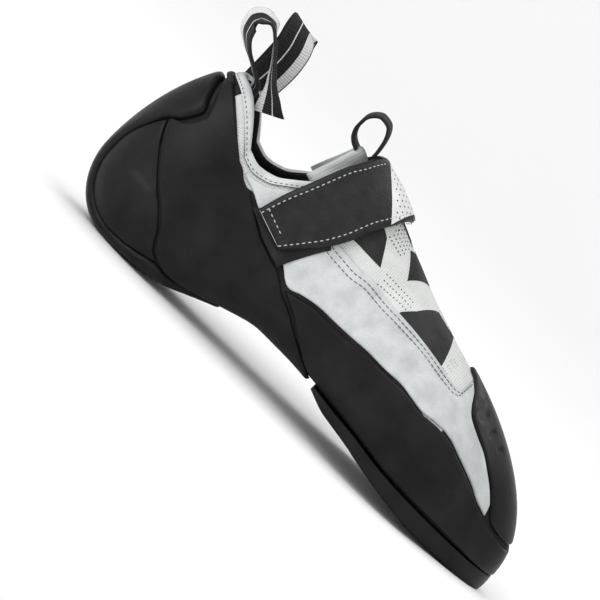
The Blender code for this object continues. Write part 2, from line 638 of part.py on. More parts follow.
def build_binding(material):
    ring = steps(0, 1, 8) + steps(1, 1.25, 5)[1:]
    rows = [[(LATERAL, u, corner) for corner in range(4)] for u in reversed(ring)]
    rows += [[(MEDIAL, u, corner) for corner in range(4)] for u in ring[1:]]
    closed_sheet("collar_binding", material, rows,
                 lambda place: binding_point(place, 0.0),
                 lambda place: binding_point(place, BINDING))


def build_band(material):
    base = GAP + SLING + GAP
    rows = [[(LATERAL, u, h) for h in (0.925, 0.955)] for u in steps(0.32, 0, 4)]
    rows += [[(MEDIAL, u, h) for h in (0.925, 0.955)] for u in steps(0, 0.32, 4)[1:]]
    shell("heel_band", material, rows, base, base + BAND)


def ribbon(name, material, base, table, per):
    """A flat band of webbing bent along a path."""
    path = between(table, per)
    centres = [base + Vector(row[:3]) * LOOP_RISE for row in path]
    rows = [[(i, 0), (i, 1)] for i in range(len(path))]

    def point(place, face):
        i, end = place
        before = centres[max(i - 1, 0)]
        after = centres[min(i + 1, len(centres) - 1)]
        turn = math.radians(path[i][3])
        run = (after - before).normalized()
        across = Vector((math.sin(turn), math.cos(turn), 0))
        across = (across - run * across.dot(run)).normalized()
        out = run.cross(across)
        bank = math.radians(path[i][4])
        across, out = (across * math.cos(bank) + out * math.sin(bank),
                       out * math.cos(bank) - across * math.sin(bank))
        return centres[i] + across * (end - 0.5) * LOOP_WIDTH + out * face * WEBBING / 2

    closed_sheet(name, material, rows, lambda place: point(place, -1), lambda place: point(place, 1))


def main():
    for old in list(bpy.data.objects):
        bpy.data.objects.remove(old)
    textile = make_material("textile", (0.78, 0.79, 0.78), 0.75)
    leather = make_material("leather", (0.72, 0.74, 0.74), 0.55)
    rubber = make_material("rubber", (0.025, 0.025, 0.027), 0.45)
    lining = make_material("lining", (0.02, 0.02, 0.02), 0.85)
    strap = make_material("strap_leather", (0.03, 0.03, 0.032), 0.5)
    webbing = make_material("webbing", (0.03, 0.03, 0.032), 0.8)
    build_upper(textile)
    build_insole(lining)
    build_outsole(rubber)
    build_rubber(rubber)
    for side, name in ((LATERAL, "lateral"), (MEDIAL, "medial")):
        shell("quarter_" + name, leather, strip_rows(QUARTER_STRIPS, steps(0, 1, 3), (side,)), GAP, GAP + LEATHER)
    build_tongue(textile)
    build_strap(strap, lining)
    build_binding(leather)
    build_band(webbing)
    ribbon("pull_loop_front", webbing, Vector((0.202 * LENGTH, 0, 0.993 * INSTEP_HEIGHT)), FRONT_LOOP, 1)
    ribbon("pull_loop_near", webbing, Vector((0.002 * LENGTH, -0.037 * BALL_WIDTH, 0.944 * HEEL_HEIGHT)), NEAR_LOOP, 1)
    ribbon("pull_loop_far", webbing, Vector((0.0, 0.267 * BALL_WIDTH, 0.944 * HEEL_HEIGHT)), FAR_LOOP, 1)


main()
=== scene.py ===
"""The looks of the climbing shoe: rubber, leather, cloth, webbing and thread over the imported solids.

Metres, in the row frame: +X towards the toe, +Y towards the inner (medial) side, +Z up.
"""
import math
from collections import namedtuple
from functools import lru_cache

import bmesh
import bpy
from mathutils import Matrix, Vector


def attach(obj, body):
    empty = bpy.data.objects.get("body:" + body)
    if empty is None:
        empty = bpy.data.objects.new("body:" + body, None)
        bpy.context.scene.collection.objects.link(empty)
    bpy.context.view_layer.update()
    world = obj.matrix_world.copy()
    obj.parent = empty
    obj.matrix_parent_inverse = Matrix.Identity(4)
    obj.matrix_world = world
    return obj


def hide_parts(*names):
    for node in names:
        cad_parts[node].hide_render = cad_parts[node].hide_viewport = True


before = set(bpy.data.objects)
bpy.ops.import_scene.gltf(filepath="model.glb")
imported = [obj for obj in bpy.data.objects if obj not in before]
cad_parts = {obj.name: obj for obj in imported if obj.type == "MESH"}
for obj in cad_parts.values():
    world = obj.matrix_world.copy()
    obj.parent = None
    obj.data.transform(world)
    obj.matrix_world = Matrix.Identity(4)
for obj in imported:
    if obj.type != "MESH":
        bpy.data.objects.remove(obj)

MM = 0.001

# Driving sizes of the last, outside the textile skin.
LENGTH = 248 * MM
BALL_WIDTH = 90 * MM
INSTEP_HEIGHT = 102 * MM
HEEL_HEIGHT = 90 * MM

# Thicknesses and clearances.
WALL = 2.0 * MM
INSOLE = 2.0 * MM
RAND = 1.7 * MM
SLING = 1.7 * MM
CUP = 1.2 * MM
TREAD = 3.4 * MM
TOE_PATCH = 1.5 * MM
LEATHER = 1.1 * MM
SOLE_TOE = 8.4 * MM
SOLE_REAR = 3.6 * MM
STRAP = 2.4 * MM
STRAP_LIFT = 3.2 * MM
PATCH = 0.7 * MM
TONGUE = 2.2 * MM
TONGUE_GAP = 0.7 * MM
TONGUE_TUCK = 4.0 * MM
BINDING = 0.9 * MM
BINDING_LEG = 2.5 * MM
BAND = 1.0 * MM
WEBBING = 1.6 * MM
LOOP_WIDTH = 16 * MM
LOOP_RISE = 35 * MM
GAP = 0.32 * MM
SEAM = 0.5 * MM

# The outsole starts at this share of LENGTH and is thinned towards its rear end over the second.
SOLE_START = 0.43
SOLE_SKIVE = 0.12
# How far the outsole reaches out below the rand, as a share of the way to the widest line.
SOLE_REACH = 0.70

LATERAL = -1
MEDIAL = 1

# Where the fans of ribs at the heel and the toe turn, as shares of LENGTH from the origin.
HEEL_PIVOT = 0.07
TOE_PIVOT = 0.62


def table(kind, *rows):
    """Rows of one kind of named tuple."""
    return [kind(*row) for row in rows]


# The last seen from above: half widths from the centre line, as shares of BALL_WIDTH.
Plan = namedtuple("Plan", "along centre wide_lateral wide_medial foot_lateral foot_medial")
PLAN = table(
    Plan,
    (0.07, 0.000, 0.323, 0.323, 0.211, 0.211),
    (0.16, 0.000, 0.329, 0.308, 0.189, 0.178),
    (0.22, 0.000, 0.333, 0.289, 0.172, 0.150),
    (0.30, 0.000, 0.356, 0.287, 0.189, 0.122),
    (0.36, 0.006, 0.389, 0.294, 0.222, 0.128),
    (0.42, 0.017, 0.433, 0.311, 0.283, 0.161),
    (0.48, 0.040, 0.483, 0.333, 0.367, 0.217),
    (0.54, 0.070, 0.528, 0.356, 0.444, 0.278),
    (0.58, 0.090, 0.556, 0.368, 0.478, 0.305),
    (0.62, 0.107, 0.567, 0.378, 0.500, 0.322),
)

# The last seen from the side: feather edge and widest line, as shares of INSTEP_HEIGHT.
Profile = namedtuple("Profile", "along foot wide")
PROFILE = table(
    Profile,
    (0.07, 0.052, 0.275),
    (0.11, 0.065, 0.275),
    (0.16, 0.108, 0.280),
    (0.22, 0.158, 0.294),
    (0.30, 0.203, 0.314),
    (0.36, 0.203, 0.324),
    (0.42, 0.197, 0.314),
    (0.48, 0.182, 0.294),
    (0.54, 0.168, 0.270),
    (0.58, 0.153, 0.252),
    (0.62, 0.139, 0.234),
)

# The top line: half gap of the collar as a share of BALL_WIDTH, its height as a share of
# INSTEP_HEIGHT, and the arc in degrees through which a rib curls in on its way up to it.
Crest = namedtuple("Crest", "along reach height curl")
COLLAR = table(
    Crest,
    (0.07, 0.250, 0.690, 30),
    (0.10, 0.247, 0.668, 30),
    (0.13, 0.250, 0.682, 32),
    (0.16, 0.255, 0.730, 36),
    (0.19, 0.239, 0.792, 46),
    (0.22, 0.172, 0.902, 62),
    (0.25, 0.000, 1.000, 90),
    (0.30, 0.000, 0.962, 90),
    (0.36, 0.000, 0.892, 90),
    (0.42, 0.000, 0.828, 90),
    (0.48, 0.000, 0.763, 90),
    (0.54, 0.000, 0.706, 90),
    (0.58, 0.000, 0.673, 90),
    (0.62, 0.000, 0.640, 90),
)
# The same ribs closed over the instep, for what lies inside and over the throat.
INSTEP = table(
    Crest,
    (0.07, 0.000, 1.160, 90),
    (0.16, 0.000, 1.100, 90),
    (0.22, 0.000, 1.036, 90),
) + [row for row in COLLAR if row.reach == 0]

# End ribs on the centre line: distances from the pivot as shares of LENGTH, heights as shares of
# INSTEP_HEIGHT, the sag of the underside as a share of it too, the drift of the tip to the medial
# side as a share of BALL_WIDTH, and how far the corner between end and side is drawn in.
End = namedtuple("End", "foot_reach foot wide_reach wide top_reach top curl sag drift "
                        "pull_lateral pull_medial")
HEEL_END = End(0.085, 0.032, 0.1746, 0.299, 0.101, HEEL_HEIGHT / INSTEP_HEIGHT, 48, 0.008, 0.0, 0.0, 0.0)
TOE_END = End(0.245, 0.082, 0.2525, 0.093, 0.0, 0.640, 40, 0.012, 0.07, 0.14, -0.06)

WIDE_AT = 0.3       # place of the widest line on a rib
STEP = 0.004        # step of the differences that give the skin's normal
CLOSED = 0.01 * MM  # the two sides' top lines meet where they are nearer than this
WELD = 0.002 * MM   # points nearer than this are joined
SHARP_ANGLE = 55    # degrees between faces above which an edge is shown sharp


class Curve:
    """A smooth line through short table columns, without overshoot between its rows."""

    def __init__(self, xs, ys):
        self.xs = xs
        self.ys = ys
        spans = [b - a for a, b in zip(xs, xs[1:])]
        rises = [(b - a) / s for a, b, s in zip(ys, ys[1:], spans)]
        self.slopes = [rises[0]]
        for before, after in zip(rises, rises[1:]):
            flat = before * after <= 0
            self.slopes.append(0.0 if flat else 2 * before * after / (before + after))
        self.slopes.append(rises[-1])

    def __call__(self, x):
        x = min(max(x, self.xs[0]), self.xs[-1])
        i = 0
        while i < len(self.xs) - 2 and x > self.xs[i + 1]:
            i += 1
        span = self.xs[i + 1] - self.xs[i]
        t = (x - self.xs[i]) / span
        keep = 1 + t * t * (2 * t - 3)
        lean = t * (1 - t)
        start = self.ys[i] * keep + self.slopes[i] * span * lean * (1 - t)
        end = self.ys[i + 1] * (1 - keep) - self.slopes[i + 1] * span * lean * t
        return start + end


def columns(table):
    """One curve per named column of a table, over its first column."""
    names = table[0]._fields[1:]
    alongs = [row.along for row in table]
    return {name: Curve(alongs, [getattr(row, name) for row in table]) for name in names}


PLAN_AT = columns(PLAN)
PROFILE_AT = columns(PROFILE)
CREST_AT = {"collar": columns(COLLAR), "instep": columns(INSTEP)}

Rib = namedtuple("Rib", "foot_r foot_z wide_r wide_z top_r top_z curl")


@lru_cache(maxsize=None)
def side_rib(side, along, crest):
    """The rib at a share of the length, in metres from the centre line."""
    name = "lateral" if side == LATERAL else "medial"
    top = CREST_AT[crest]
    return Rib(
        PLAN_AT["foot_" + name](along) * BALL_WIDTH,
        PROFILE_AT["foot"](along) * INSTEP_HEIGHT,
        PLAN_AT["wide_" + name](along) * BALL_WIDTH,
        PROFILE_AT["wide"](along) * INSTEP_HEIGHT,
        top["reach"](along) * BALL_WIDTH,
        top["height"](along) * INSTEP_HEIGHT,
        math.radians(top["curl"](along)),
    )


def end_rib(end):
    """The heel's or the toe's rib on the centre line, in metres from its pivot."""
    return Rib(
        end.foot_reach * LENGTH,
        end.foot * INSTEP_HEIGHT,
        end.wide_reach * LENGTH,
        end.wide * INSTEP_HEIGHT,
        end.top_reach * LENGTH,
        end.top * INSTEP_HEIGHT,
        math.radians(end.curl),
    )


def on_rib(rib, h):
    """Distance and height at h: -1 under the middle, 0 at the feather edge, 1 at the top."""
    if h < 0:
        return rib.foot_r * (1 + h), rib.foot_z
    if h < WIDE_AT:
        angle = h / WIDE_AT * math.pi / 2
        reach = rib.foot_r + (rib.wide_r - rib.foot_r) * math.sin(angle)
        return reach, rib.wide_z - (rib.wide_z - rib.foot_z) * math.cos(angle)
    angle = (h - WIDE_AT) / (1 - WIDE_AT) * rib.curl
    run = (math.cos(angle) - math.cos(rib.curl)) / (1 - math.cos(rib.curl))
    rise = math.sin(angle) / math.sin(rib.curl)
    return rib.top_r + (rib.wide_r - rib.top_r) * run, rib.wide_z + (rib.top_z - rib.wide_z) * rise


def fan_point(side, pivot, end, away, turn, h, crest):
    """A point of the fan of ribs that closes the heel (away -1) or the toe (away 1)."""
    side_r, side_z = on_rib(side_rib(side, pivot, crest), h)
    end_r, end_z = on_rib(end_rib(end), h)
    pull = end.pull_lateral if side == LATERAL else end.pull_medial
    drawn = 1 - pull * math.sin(2 * turn) ** 2
    ahead = math.cos(turn)
    lifted = math.sin(math.pi / 2 * ahead)
    high = max(0.0, h) ** 2 if away < 0 else 0.0
    share = ahead + (lifted - ahead) * high
    depth = min(1.0, 1 + h)
    spread = end_r / (end.wide_reach * LENGTH)
    sag = 6.75 * end.sag * INSTEP_HEIGHT * depth * depth * (1 - depth) * ahead
    centre = (PLAN_AT["centre"](pivot) + end.drift * ahead * spread) * BALL_WIDTH
    return Vector((
        pivot * LENGTH + away * end_r * ahead * drawn,
        centre + side * side_r * math.sin(turn) * drawn,
        side_z + (end_z - side_z) * share * depth - sag,
    ))


def skin(side, u, h, crest="collar"):
    """The last's outer skin. u is 0 at the heel's back, 1 and 2 at the pivots and 3 at the toe's tip."""
    if u < 0:
        side, u = -side, -u
    if u > 3:
        side, u = -side, 6 - u
    if u < 1:
        return fan_point(side, HEEL_PIVOT, HEEL_END, -1, u * math.pi / 2, h, crest)
    if u > 2:
        return fan_point(side, TOE_PIVOT, TOE_END, 1, (3 - u) * math.pi / 2, h, crest)
    along = HEEL_PIVOT + (TOE_PIVOT - HEEL_PIVOT) * (u - 1)
    reach, height = on_rib(side_rib(side, along, crest), h)
    centre = PLAN_AT["centre"](along) * BALL_WIDTH
    return Vector((along * LENGTH, centre + side * reach, height))


def u_of(x):
    """The ring place of a length between the pivots."""
    return 1 + (x / LENGTH - HEEL_PIVOT) / (TOE_PIVOT - HEEL_PIVOT)


def normal(side, u, h, crest="collar"):
    """The outward direction of the skin."""
    gap = skin(MEDIAL, u, 1, crest).y - skin(LATERAL, u, 1, crest).y
    ridge = h > 1 - STEP and u > 0.5 and gap < CLOSED
    if ridge or h < STEP - 1:
        level = 1 if h > 0 else -1
        if u <= 1:
            run = skin(side, 1 + STEP, level, crest) - skin(side, 0.1, level * 0.9, crest)
        elif u >= 2:
            run = skin(side, 2.9, level * 0.9, crest) - skin(side, 2 - STEP, level, crest)
        else:
            run = skin(side, u + STEP, level, crest) - skin(side, u - STEP, level, crest)
        return Vector((-run.z * level, 0, run.x * level)).normalized()
    high = min(h + STEP, 1.0)
    along = skin(side, u + STEP, min(h, 1 - STEP), crest) - skin(side, u - STEP, min(h, 1 - STEP), crest)
    up = skin(side, u, high, crest) - skin(side, u, high - 2 * STEP, crest)
    return (along.cross(up) * -side).normalized()


def steps(start, end, count):
    return [start + (end - start) * i / count for i in range(count + 1)]


def both_sides(us):
    """(side, u) pairs along us on the lateral side and back along it on the medial one."""
    return [(LATERAL, u) for u in us] + [(MEDIAL, u) for u in reversed(us[:-1])]


Edge = namedtuple("Edge", "ring climb")
Strip = namedtuple("Strip", "ring climb middle_ring middle_climb")

# Border lines on the last. ring runs 0 at the heel's back, 1 and 2 at the pivots, 3 at the toe's
# tip; climb runs -1 under the middle, 0 at the feather edge, 1 at the collar or the ridge.
SLING_REAR = table(Edge,
    (0.0, 0.925), (0.14, 0.915), (0.3, 0.87), (0.36, 0.848), (0.42, 0.825), (0.49, 0.79), (0.54, 0.75),
    (0.52, 0.69), (0.48, 0.64), (0.42, 0.61), (0.36, 0.59), (0.5, 0.507), (0.63, 0.43), (0.8, 0.32),
    (0.92, 0.25), (0.98, 0.19), (1.03, 0.13), (1.1, 0.085), (1.19, 0.04), (1.23, -0.03), (1.27, -0.1),
    (1.32, -0.22), (1.38, -0.35), (1.435, -0.35), (1.49, -0.35), (1.545, -0.35), (1.6, -0.35))
SLING_FRONT = table(Edge,
    (0.0, 0.965), (0.14, 0.962), (0.35, 0.95), (0.51, 0.935), (0.67, 0.92), (0.76, 0.916), (0.85, 0.912),
    (0.94, 0.914), (1.02, 0.915), (1.06, 0.87), (1.1, 0.82), (1.12, 0.775), (1.14, 0.73), (1.22, 0.55),
    (1.32, 0.39), (1.35, 0.37), (1.38, 0.35), (1.46, 0.31), (1.51, 0.25), (1.535, 0.22), (1.56, 0.19),
    (1.585, 0.155), (1.61, 0.12), (1.615, 0.105), (1.62, 0.09), (1.625, 0.075), (1.63, 0.06))
CUP_LOWER = table(Edge,
    (1.03, 0.11), (0.92, 0.09), (0.72, 0.07), (0.5, 0.07), (0.33, 0.1), (0.22, 0.15), (0.17, 0.2),
    (0.15, 0.26), (0.15, 0.32), (0.18, 0.4), (0.27, 0.5), (0.345, 0.58))
CUP_UPPER = table(Edge,
    (1.03, 0.13), (0.975, 0.19), (0.92, 0.25), (0.86, 0.285), (0.8, 0.32), (0.745, 0.356), (0.69, 0.392),
    (0.63, 0.43), (0.56, 0.471), (0.5, 0.507), (0.43, 0.548), (0.37, 0.584))
TREAD_STRIPS = table(Strip,
    (1.27, -0.16, 1.27, -1.0), (1.23, -0.08, 1.23, -1.0), (1.19, 0.0, 1.19, -1.0), (1.1, 0.06, 1.1, -1.0),
    (1.03, 0.11, 1.02, -1.0), (0.92, 0.09, 0.0, -0.92), (0.82, 0.08, 0.0, -0.75), (0.72, 0.07, 0.0, -0.6),
    (0.61, 0.07, 0.0, -0.45), (0.5, 0.07, 0.0, -0.3), (0.42, 0.08, 0.0, -0.15), (0.37, 0.09, 0.0, -0.07),
    (0.33, 0.1, 0.0, 0.0), (0.27, 0.125, 0.0, 0.055), (0.22, 0.15, 0.0, 0.11), (0.17, 0.2, 0.0, 0.19),
    (0.15, 0.26, 0.0, 0.26), (0.15, 0.32, 0.0, 0.32), (0.18, 0.4, 0.0, 0.4), (0.27, 0.5, 0.0, 0.5),
    (0.33, 0.575, 0.0, 0.58), (0.44, 0.645, 0.0, 0.66), (0.5, 0.75, 0.0, 0.75), (0.39, 0.81, 0.0, 0.82),
    (0.26, 0.86, 0.0, 0.87), (0.12, 0.905, 0.0, 0.91))
RAND_TOP = table(Edge,
    (1.385, 0.36), (1.42, 0.37), (1.49, 0.385), (1.56, 0.395), (1.6, 0.405), (1.64, 0.415), (1.71, 0.44),
    (1.78, 0.46), (1.86, 0.49), (1.9, 0.5), (1.94, 0.502), (2.0, 0.53), (2.06, 0.545), (2.12, 0.55),
    (2.21, 0.54), (2.31, 0.53), (2.43, 0.515), (2.53, 0.49), (2.62, 0.475), (2.7, 0.465), (2.8, 0.45),
    (2.9, 0.44), (3.0, 0.435))
RAND_FOOT = table(Edge,
    (1.39, 0.35), (1.42, 0.335), (1.47, 0.305), (1.52, 0.24), (1.57, 0.175), (1.6, 0.14), (1.63, 0.115),
    (1.72, 0.1), (1.8, 0.1), (1.86, 0.1), (1.92, 0.1), (2.0, 0.105), (2.06, 0.115), (2.12, 0.125),
    (2.21, 0.14), (2.31, 0.155), (2.43, 0.175), (2.53, 0.19), (2.62, 0.2), (2.7, 0.2), (2.8, 0.2),
    (2.9, 0.2), (3.0, 0.2))
TOE_STRIPS = table(Strip,
    (1.975, 0.97, 1.965, 1.0), (2.02, 0.93, 2.0, 1.0), (2.1, 0.87, 3.0, 0.97), (2.145, 0.78, 3.0, 0.93),
    (2.18, 0.74, 3.0, 0.9), (2.3, 0.71, 3.0, 0.84), (2.44, 0.69, 3.0, 0.77), (2.55, 0.65, 3.0, 0.7),
    (2.62, 0.6, 3.0, 0.63), (2.66, 0.54, 3.0, 0.57), (2.7, 0.48, 3.0, 0.5), (2.8, 0.46, 3.0, 0.455))
QUARTER_STRIPS = table(Strip,
    (1.04, 0.925, 1.04, 0.905), (1.1, 0.925, 1.1, 0.835), (1.15, 0.925, 1.145, 0.74),
    (1.2, 0.9, 1.22, 0.565), (1.26, 0.75, 1.3, 0.43), (1.33, 0.63, 1.385, 0.368), (1.4, 0.57, 1.43, 0.38),
    (1.49, 0.58, 1.49, 0.393), (1.56, 0.61, 1.56, 0.403), (1.64, 0.63, 1.64, 0.423),
    (1.71, 0.66, 1.71, 0.448), (1.78, 0.69, 1.78, 0.468), (1.86, 0.715, 1.86, 0.498),
    (1.93, 0.73, 1.93, 0.505), (1.97, 0.74, 1.965, 0.513), (2.0, 0.77, 2.0, 0.533),
    (2.02, 0.89, 2.03, 0.541), (2.05, 0.875, 2.07, 0.554), (2.09, 0.85, 2.13, 0.558),
    (2.13, 0.77, 2.17, 0.555), (2.17, 0.73, 2.22, 0.548), (2.3, 0.7, 2.31, 0.538),
    (2.44, 0.68, 2.43, 0.523), (2.54, 0.635, 2.53, 0.498), (2.61, 0.585, 2.59, 0.488),
    (2.65, 0.53, 2.64, 0.48))


STRAP_REAR = table(Edge,
    (1.145, 0.45), (1.17, 0.52), (1.2, 0.59), (1.225, 0.66), (1.25, 0.74), (1.27, 0.8), (1.285, 0.87),
    (1.3, 0.94), (1.31, 1.0))
STRAP_FRONT = table(Edge,
    (1.28, 0.42), (1.34, 0.48), (1.39, 0.54), (1.425, 0.61), (1.45, 0.7), (1.475, 0.79), (1.49, 0.87),
    (1.5, 0.94), (1.51, 1.0))
TONGUE_REAR = table(Edge,
    (1.18, 0.62), (1.2, 0.68), (1.22, 0.75), (1.235, 0.83), (1.245, 0.91), (1.25, 1.0))
TONGUE_FRONT = table(Edge,
    (1.44, 0.6), (1.45, 0.66), (1.46, 0.74), (1.46, 0.83), (1.46, 0.91), (1.46, 1.0))
PATCH_LOWER = table(Edge,
    (1.13, 0.73), (1.18, 0.628), (1.245, 0.5), (1.315, 0.392))
PATCH_UPPER = table(Edge,
    (1.205, 0.775), (1.265, 0.68), (1.33, 0.6), (1.4, 0.535))

# A ribbon's path as shares of LOOP_RISE from its base, with the turn of its width seen from above
# and its bank round the path, in degrees.
Ribbon = namedtuple("Ribbon", "x y z turn bank", defaults=(0,))
FRONT_LOOP = table(Ribbon,
    (-0.02, 0.0, 0.02, 0), (-0.1, 0.0, 0.06, 0), (-0.17, 0.0, 0.13, 0), (-0.205, 0.0, 0.24, 0),
    (-0.2, 0.0, 0.36, 0), (-0.15, 0.0, 0.46, 0), (-0.05, 0.0, 0.52, 0), (0.06, 0.0, 0.5, 0),
    (0.14, 0.0, 0.4, 0), (0.18, 0.0, 0.26, 0), (0.195, 0.0, 0.14, 0), (0.195, 0.0, 0.1, 0))
NEAR_LOOP = table(Ribbon,
    (0.0, 0.0, 0.0, -15), (-0.02, -0.01, 0.19, -15), (-0.2, -0.04, 0.33, -15), (-0.43, -0.09, 0.47, -20),
    (-0.57, -0.14, 0.62, -26, 2), (-0.6, -0.18, 0.76, -25, 4), (-0.53, -0.22, 0.87, -22, 7),
    (-0.4, -0.27, 0.9, -19, 9), (-0.24, -0.32, 0.79, -16, 6), (-0.07, -0.37, 0.6, -14, 3),
    (0.07, -0.4, 0.42, -20), (0.22, -0.38, 0.24, -45), (0.33, -0.34, 0.08, -75))
FAR_LOOP = table(Ribbon,
    (0.0, 0.0, 0.0, 74), (0.0, 0.0, 0.33, 74), (-0.01, 0.0, 0.7, 74), (-0.05, -0.03, 0.93, 74, -8),
    (-0.07, -0.15, 1.03, 74, -15), (-0.03, -0.28, 0.93, 74, -10), (0.03, -0.32, 0.74, 74, -5),
    (0.05, -0.33, 0.5, 74), (0.03, -0.33, 0.185, 74))


def between(table, per):
    """A table's rows with even smooth steps between each row and the next."""
    knots = list(range(len(table)))
    lines = [Curve(knots, list(column)) for column in zip(*table)]
    return [[line(i / per) for line in lines] for i in range((len(table) - 1) * per + 1)]


# Where the collar's edge passes on the ribs closed over the instep.
THROAT = Curve([1.17, 1.22, 1.27, 1.30, 1.33], [0.60, 0.66, 0.77, 0.88, 1.00])

# Places across the outsole, the radius of its lower edge, the upper edge's share of that, and the
# bow of its side.
SOLE_ACROSS = [-1.0, -0.8, -0.6, -0.4, -0.2, 0.0, 0.3, 0.6, 0.85, 0.95]
SOLE_ROUND = 0.9 * MM
SOLE_TOP_ROUND = 0.4
SOLE_BOW = 0.25 * MM

# The heel tape's reach along the ring to either side and its climb, and the faces of the binding's
# profile that show pale.
TAPE_REACH = 0.32
TAPE_CLIMB = (0.925, 0.955)
PALE_FACES = 9

# Threads: the size of a stitch and of its mesh.
Stitch = namedtuple("Stitch", "radius long gap")
QUARTER_STITCH = Stitch(0.26 * MM, 2.1 * MM, 0.35 * MM)
STRAP_STITCH = Stitch(0.25 * MM, 1.6 * MM, 1.0 * MM)
BINDING_STITCH = Stitch(0.22 * MM, 1.5 * MM, 0.8 * MM)
THREAD_STEPS = 6
THREAD_SIDES = 6

# Pale stripes across the loops, in millimetres from one selvedge.
LOOP_STRIPES = [(5.2, 5.8), (10.9, 15.4)]

# A wave texture of this scale repeats once in each unit. A mix node's colour sockets share their
# names with others, so they go by number.
WAVE_SCALE = 0.314
MIX_COLOURS = (6, 7)
MIX_RESULT = 2

# The photo's view: degrees above the level and round the line of sight, then metres.
VIEW_TILT = 7
VIEW_ROLL = 44.15
VIEW_AIM = Vector((0.077, 0.0, 0.038))
VIEW_WIDTH = 0.2562
VIEW_DISTANCE = 3.0
WORLD_LIGHT = 0.68

# Where the floor starts to rise behind the shoe, and the radius of its bend.
FLOOR_BACK = 0.9
BEND = 0.6

# The parts of the skin that show pale, at the collar and on the vamp: rings and least climb. Elsewhere the
# skin takes the dark lining colour, which is painted shade in the gaps between the panels.
COLLAR_START = 0.45
COLLAR_FOOT = 0.84
VAMP_START = 1.28
VAMP_END = 2.05
VAMP_FOOT = 0.50
PRINT_LIFT = 0.08 * MM

# Dark prints on the vamp: two borders of (ring, climb) each, read together from end to end.
PRINTS = [
    ([(1.42, 0.62), (1.48, 0.64), (1.548, 0.67)], [(1.44, 0.78), (1.47, 0.78), (1.498, 0.77)]),
    ([(1.577, 0.92), (1.607, 0.85), (1.637, 0.78)], [(1.60, 1.00), (1.65, 1.00), (1.70, 1.00)]),
    ([(1.689, 0.65), (1.72, 0.655), (1.765, 0.67), (1.84, 0.69), (1.899, 0.71)],
     [(1.69, 0.665), (1.723, 0.75), (1.775, 0.95), (1.862, 1.00), (1.899, 0.74)]),
]

# Fields of printed spots: first ring and climb, steps along and up, counts, climb gained per ring, radius.
Field = namedtuple("Field", "ring climb along up columns rows slope radius")
FIELDS = [
    Field(1.502, 0.790, 0.0125, 0.032, 6, 6, 0.3, 0.42 * MM),
    Field(1.578, 0.625, 0.0130, 0.030, 10, 3, 0.6, 0.34 * MM),
    Field(1.908, 0.740, 0.0100, 0.035, 3, 4, 0.2, 0.25 * MM),
]
STRAP_FIELD = Field(1.325, 0.800, 0.0170, 0.034, 11, 6, 0.0, 0.45 * MM)

# The strap's pale print runs from this line of ring and climb up to the ridge of the instep.
STRAP_PRINT_BORDERS = ([(1.330, 0.985), (1.36, 0.925), (1.395, 0.87), (1.435, 0.815), (1.468, 0.775)],
                       [(1.332, 1.000), (1.37, 1.000), (1.41, 1.000), (1.455, 1.000), (1.490, 1.000)])
STRAP_PRINT = Curve(*zip(*STRAP_PRINT_BORDERS[0]))


def place_steps(width, spacing, edge, ends):
    """Shares across a width: fine steps at the rounded borders and even ones between."""
    fine = [0.0, 0.12 * edge, 0.4 * edge, 0.8 * edge, 1.3 * edge]
    room = max(width, 6 * edge)
    start = [value / room for value in fine] if ends[0] else [0.0]
    end = [1 - value / room for value in reversed(fine)] if ends[1] else [1.0]
    return start + steps(start[-1], end[0], spacing)[1:-1] + end


def band(side, border, other, per, across, edge=1.5 * MM, seam=SEAM):
    """Rows of places between two border lines, finer towards both."""
    rows = []
    for a, b in zip(between(border, per), between(other, per)):
        width = max((skin(side, *a) - skin(side, *b)).length, MM * 0.1)
        trim = min(0.4, seam / width)
        rows.append([(side, a[0] + (b[0] - a[0]) * (trim + (1 - 2 * trim) * t),
                      a[1] + (b[1] - a[1]) * (trim + (1 - 2 * trim) * t))
                     for t in place_steps(width, across, edge, (True, True))])
    return rows


def over_band(border, other, per, across, edge=1.5 * MM):
    """A band that runs over the instep from the lateral side to the medial one."""
    rows = band(LATERAL, border, other, per, across, edge, 0.0)
    return rows + band(MEDIAL, border, other, per, across, edge, 0.0)[:-1][::-1]


def strip(strips, per, across, sides=(LATERAL, MEDIAL), edge=1.5 * MM):
    """Rows from one side's border to the middle and on to the other side's border."""
    rows = []
    whole = len(sides) > 1
    for ring, climb, middle_ring, middle_climb in between(strips, per):
        halves = []
        for side in sides:
            width = (skin(side, ring, climb) - skin(side, middle_ring, middle_climb)).length
            halves.append([(side, ring + (middle_ring - ring) * t, climb + (middle_climb - climb) * t)
                           for t in place_steps(width, across, edge, (True, not whole))])
        rows.append(halves[0] + (halves[1][::-1][1:] if whole else []))
    return rows


def grid(rows, wide, closed=False):
    """Faces between neighbouring rows of points, closed round each row if asked."""
    return [(i * wide + j, i * wide + (j + 1) % wide, (i + 1) * wide + (j + 1) % wide, (i + 1) * wide + j)
            for i in range(rows - 1) for j in range(wide if closed else wide - 1)]


def loft(rows, wide, closed=True):
    """A grid with its first and last rows filled, from each row's two ends to its middle."""
    faces = grid(rows, wide, closed)
    last = (rows - 1) * wide
    for j in range((wide - 1) // 2):
        cap = (j, j + 1, wide - 2 - j, wide - 1 - j)
        faces += [tuple(reversed(cap)), tuple(last + v for v in cap)]
    return faces


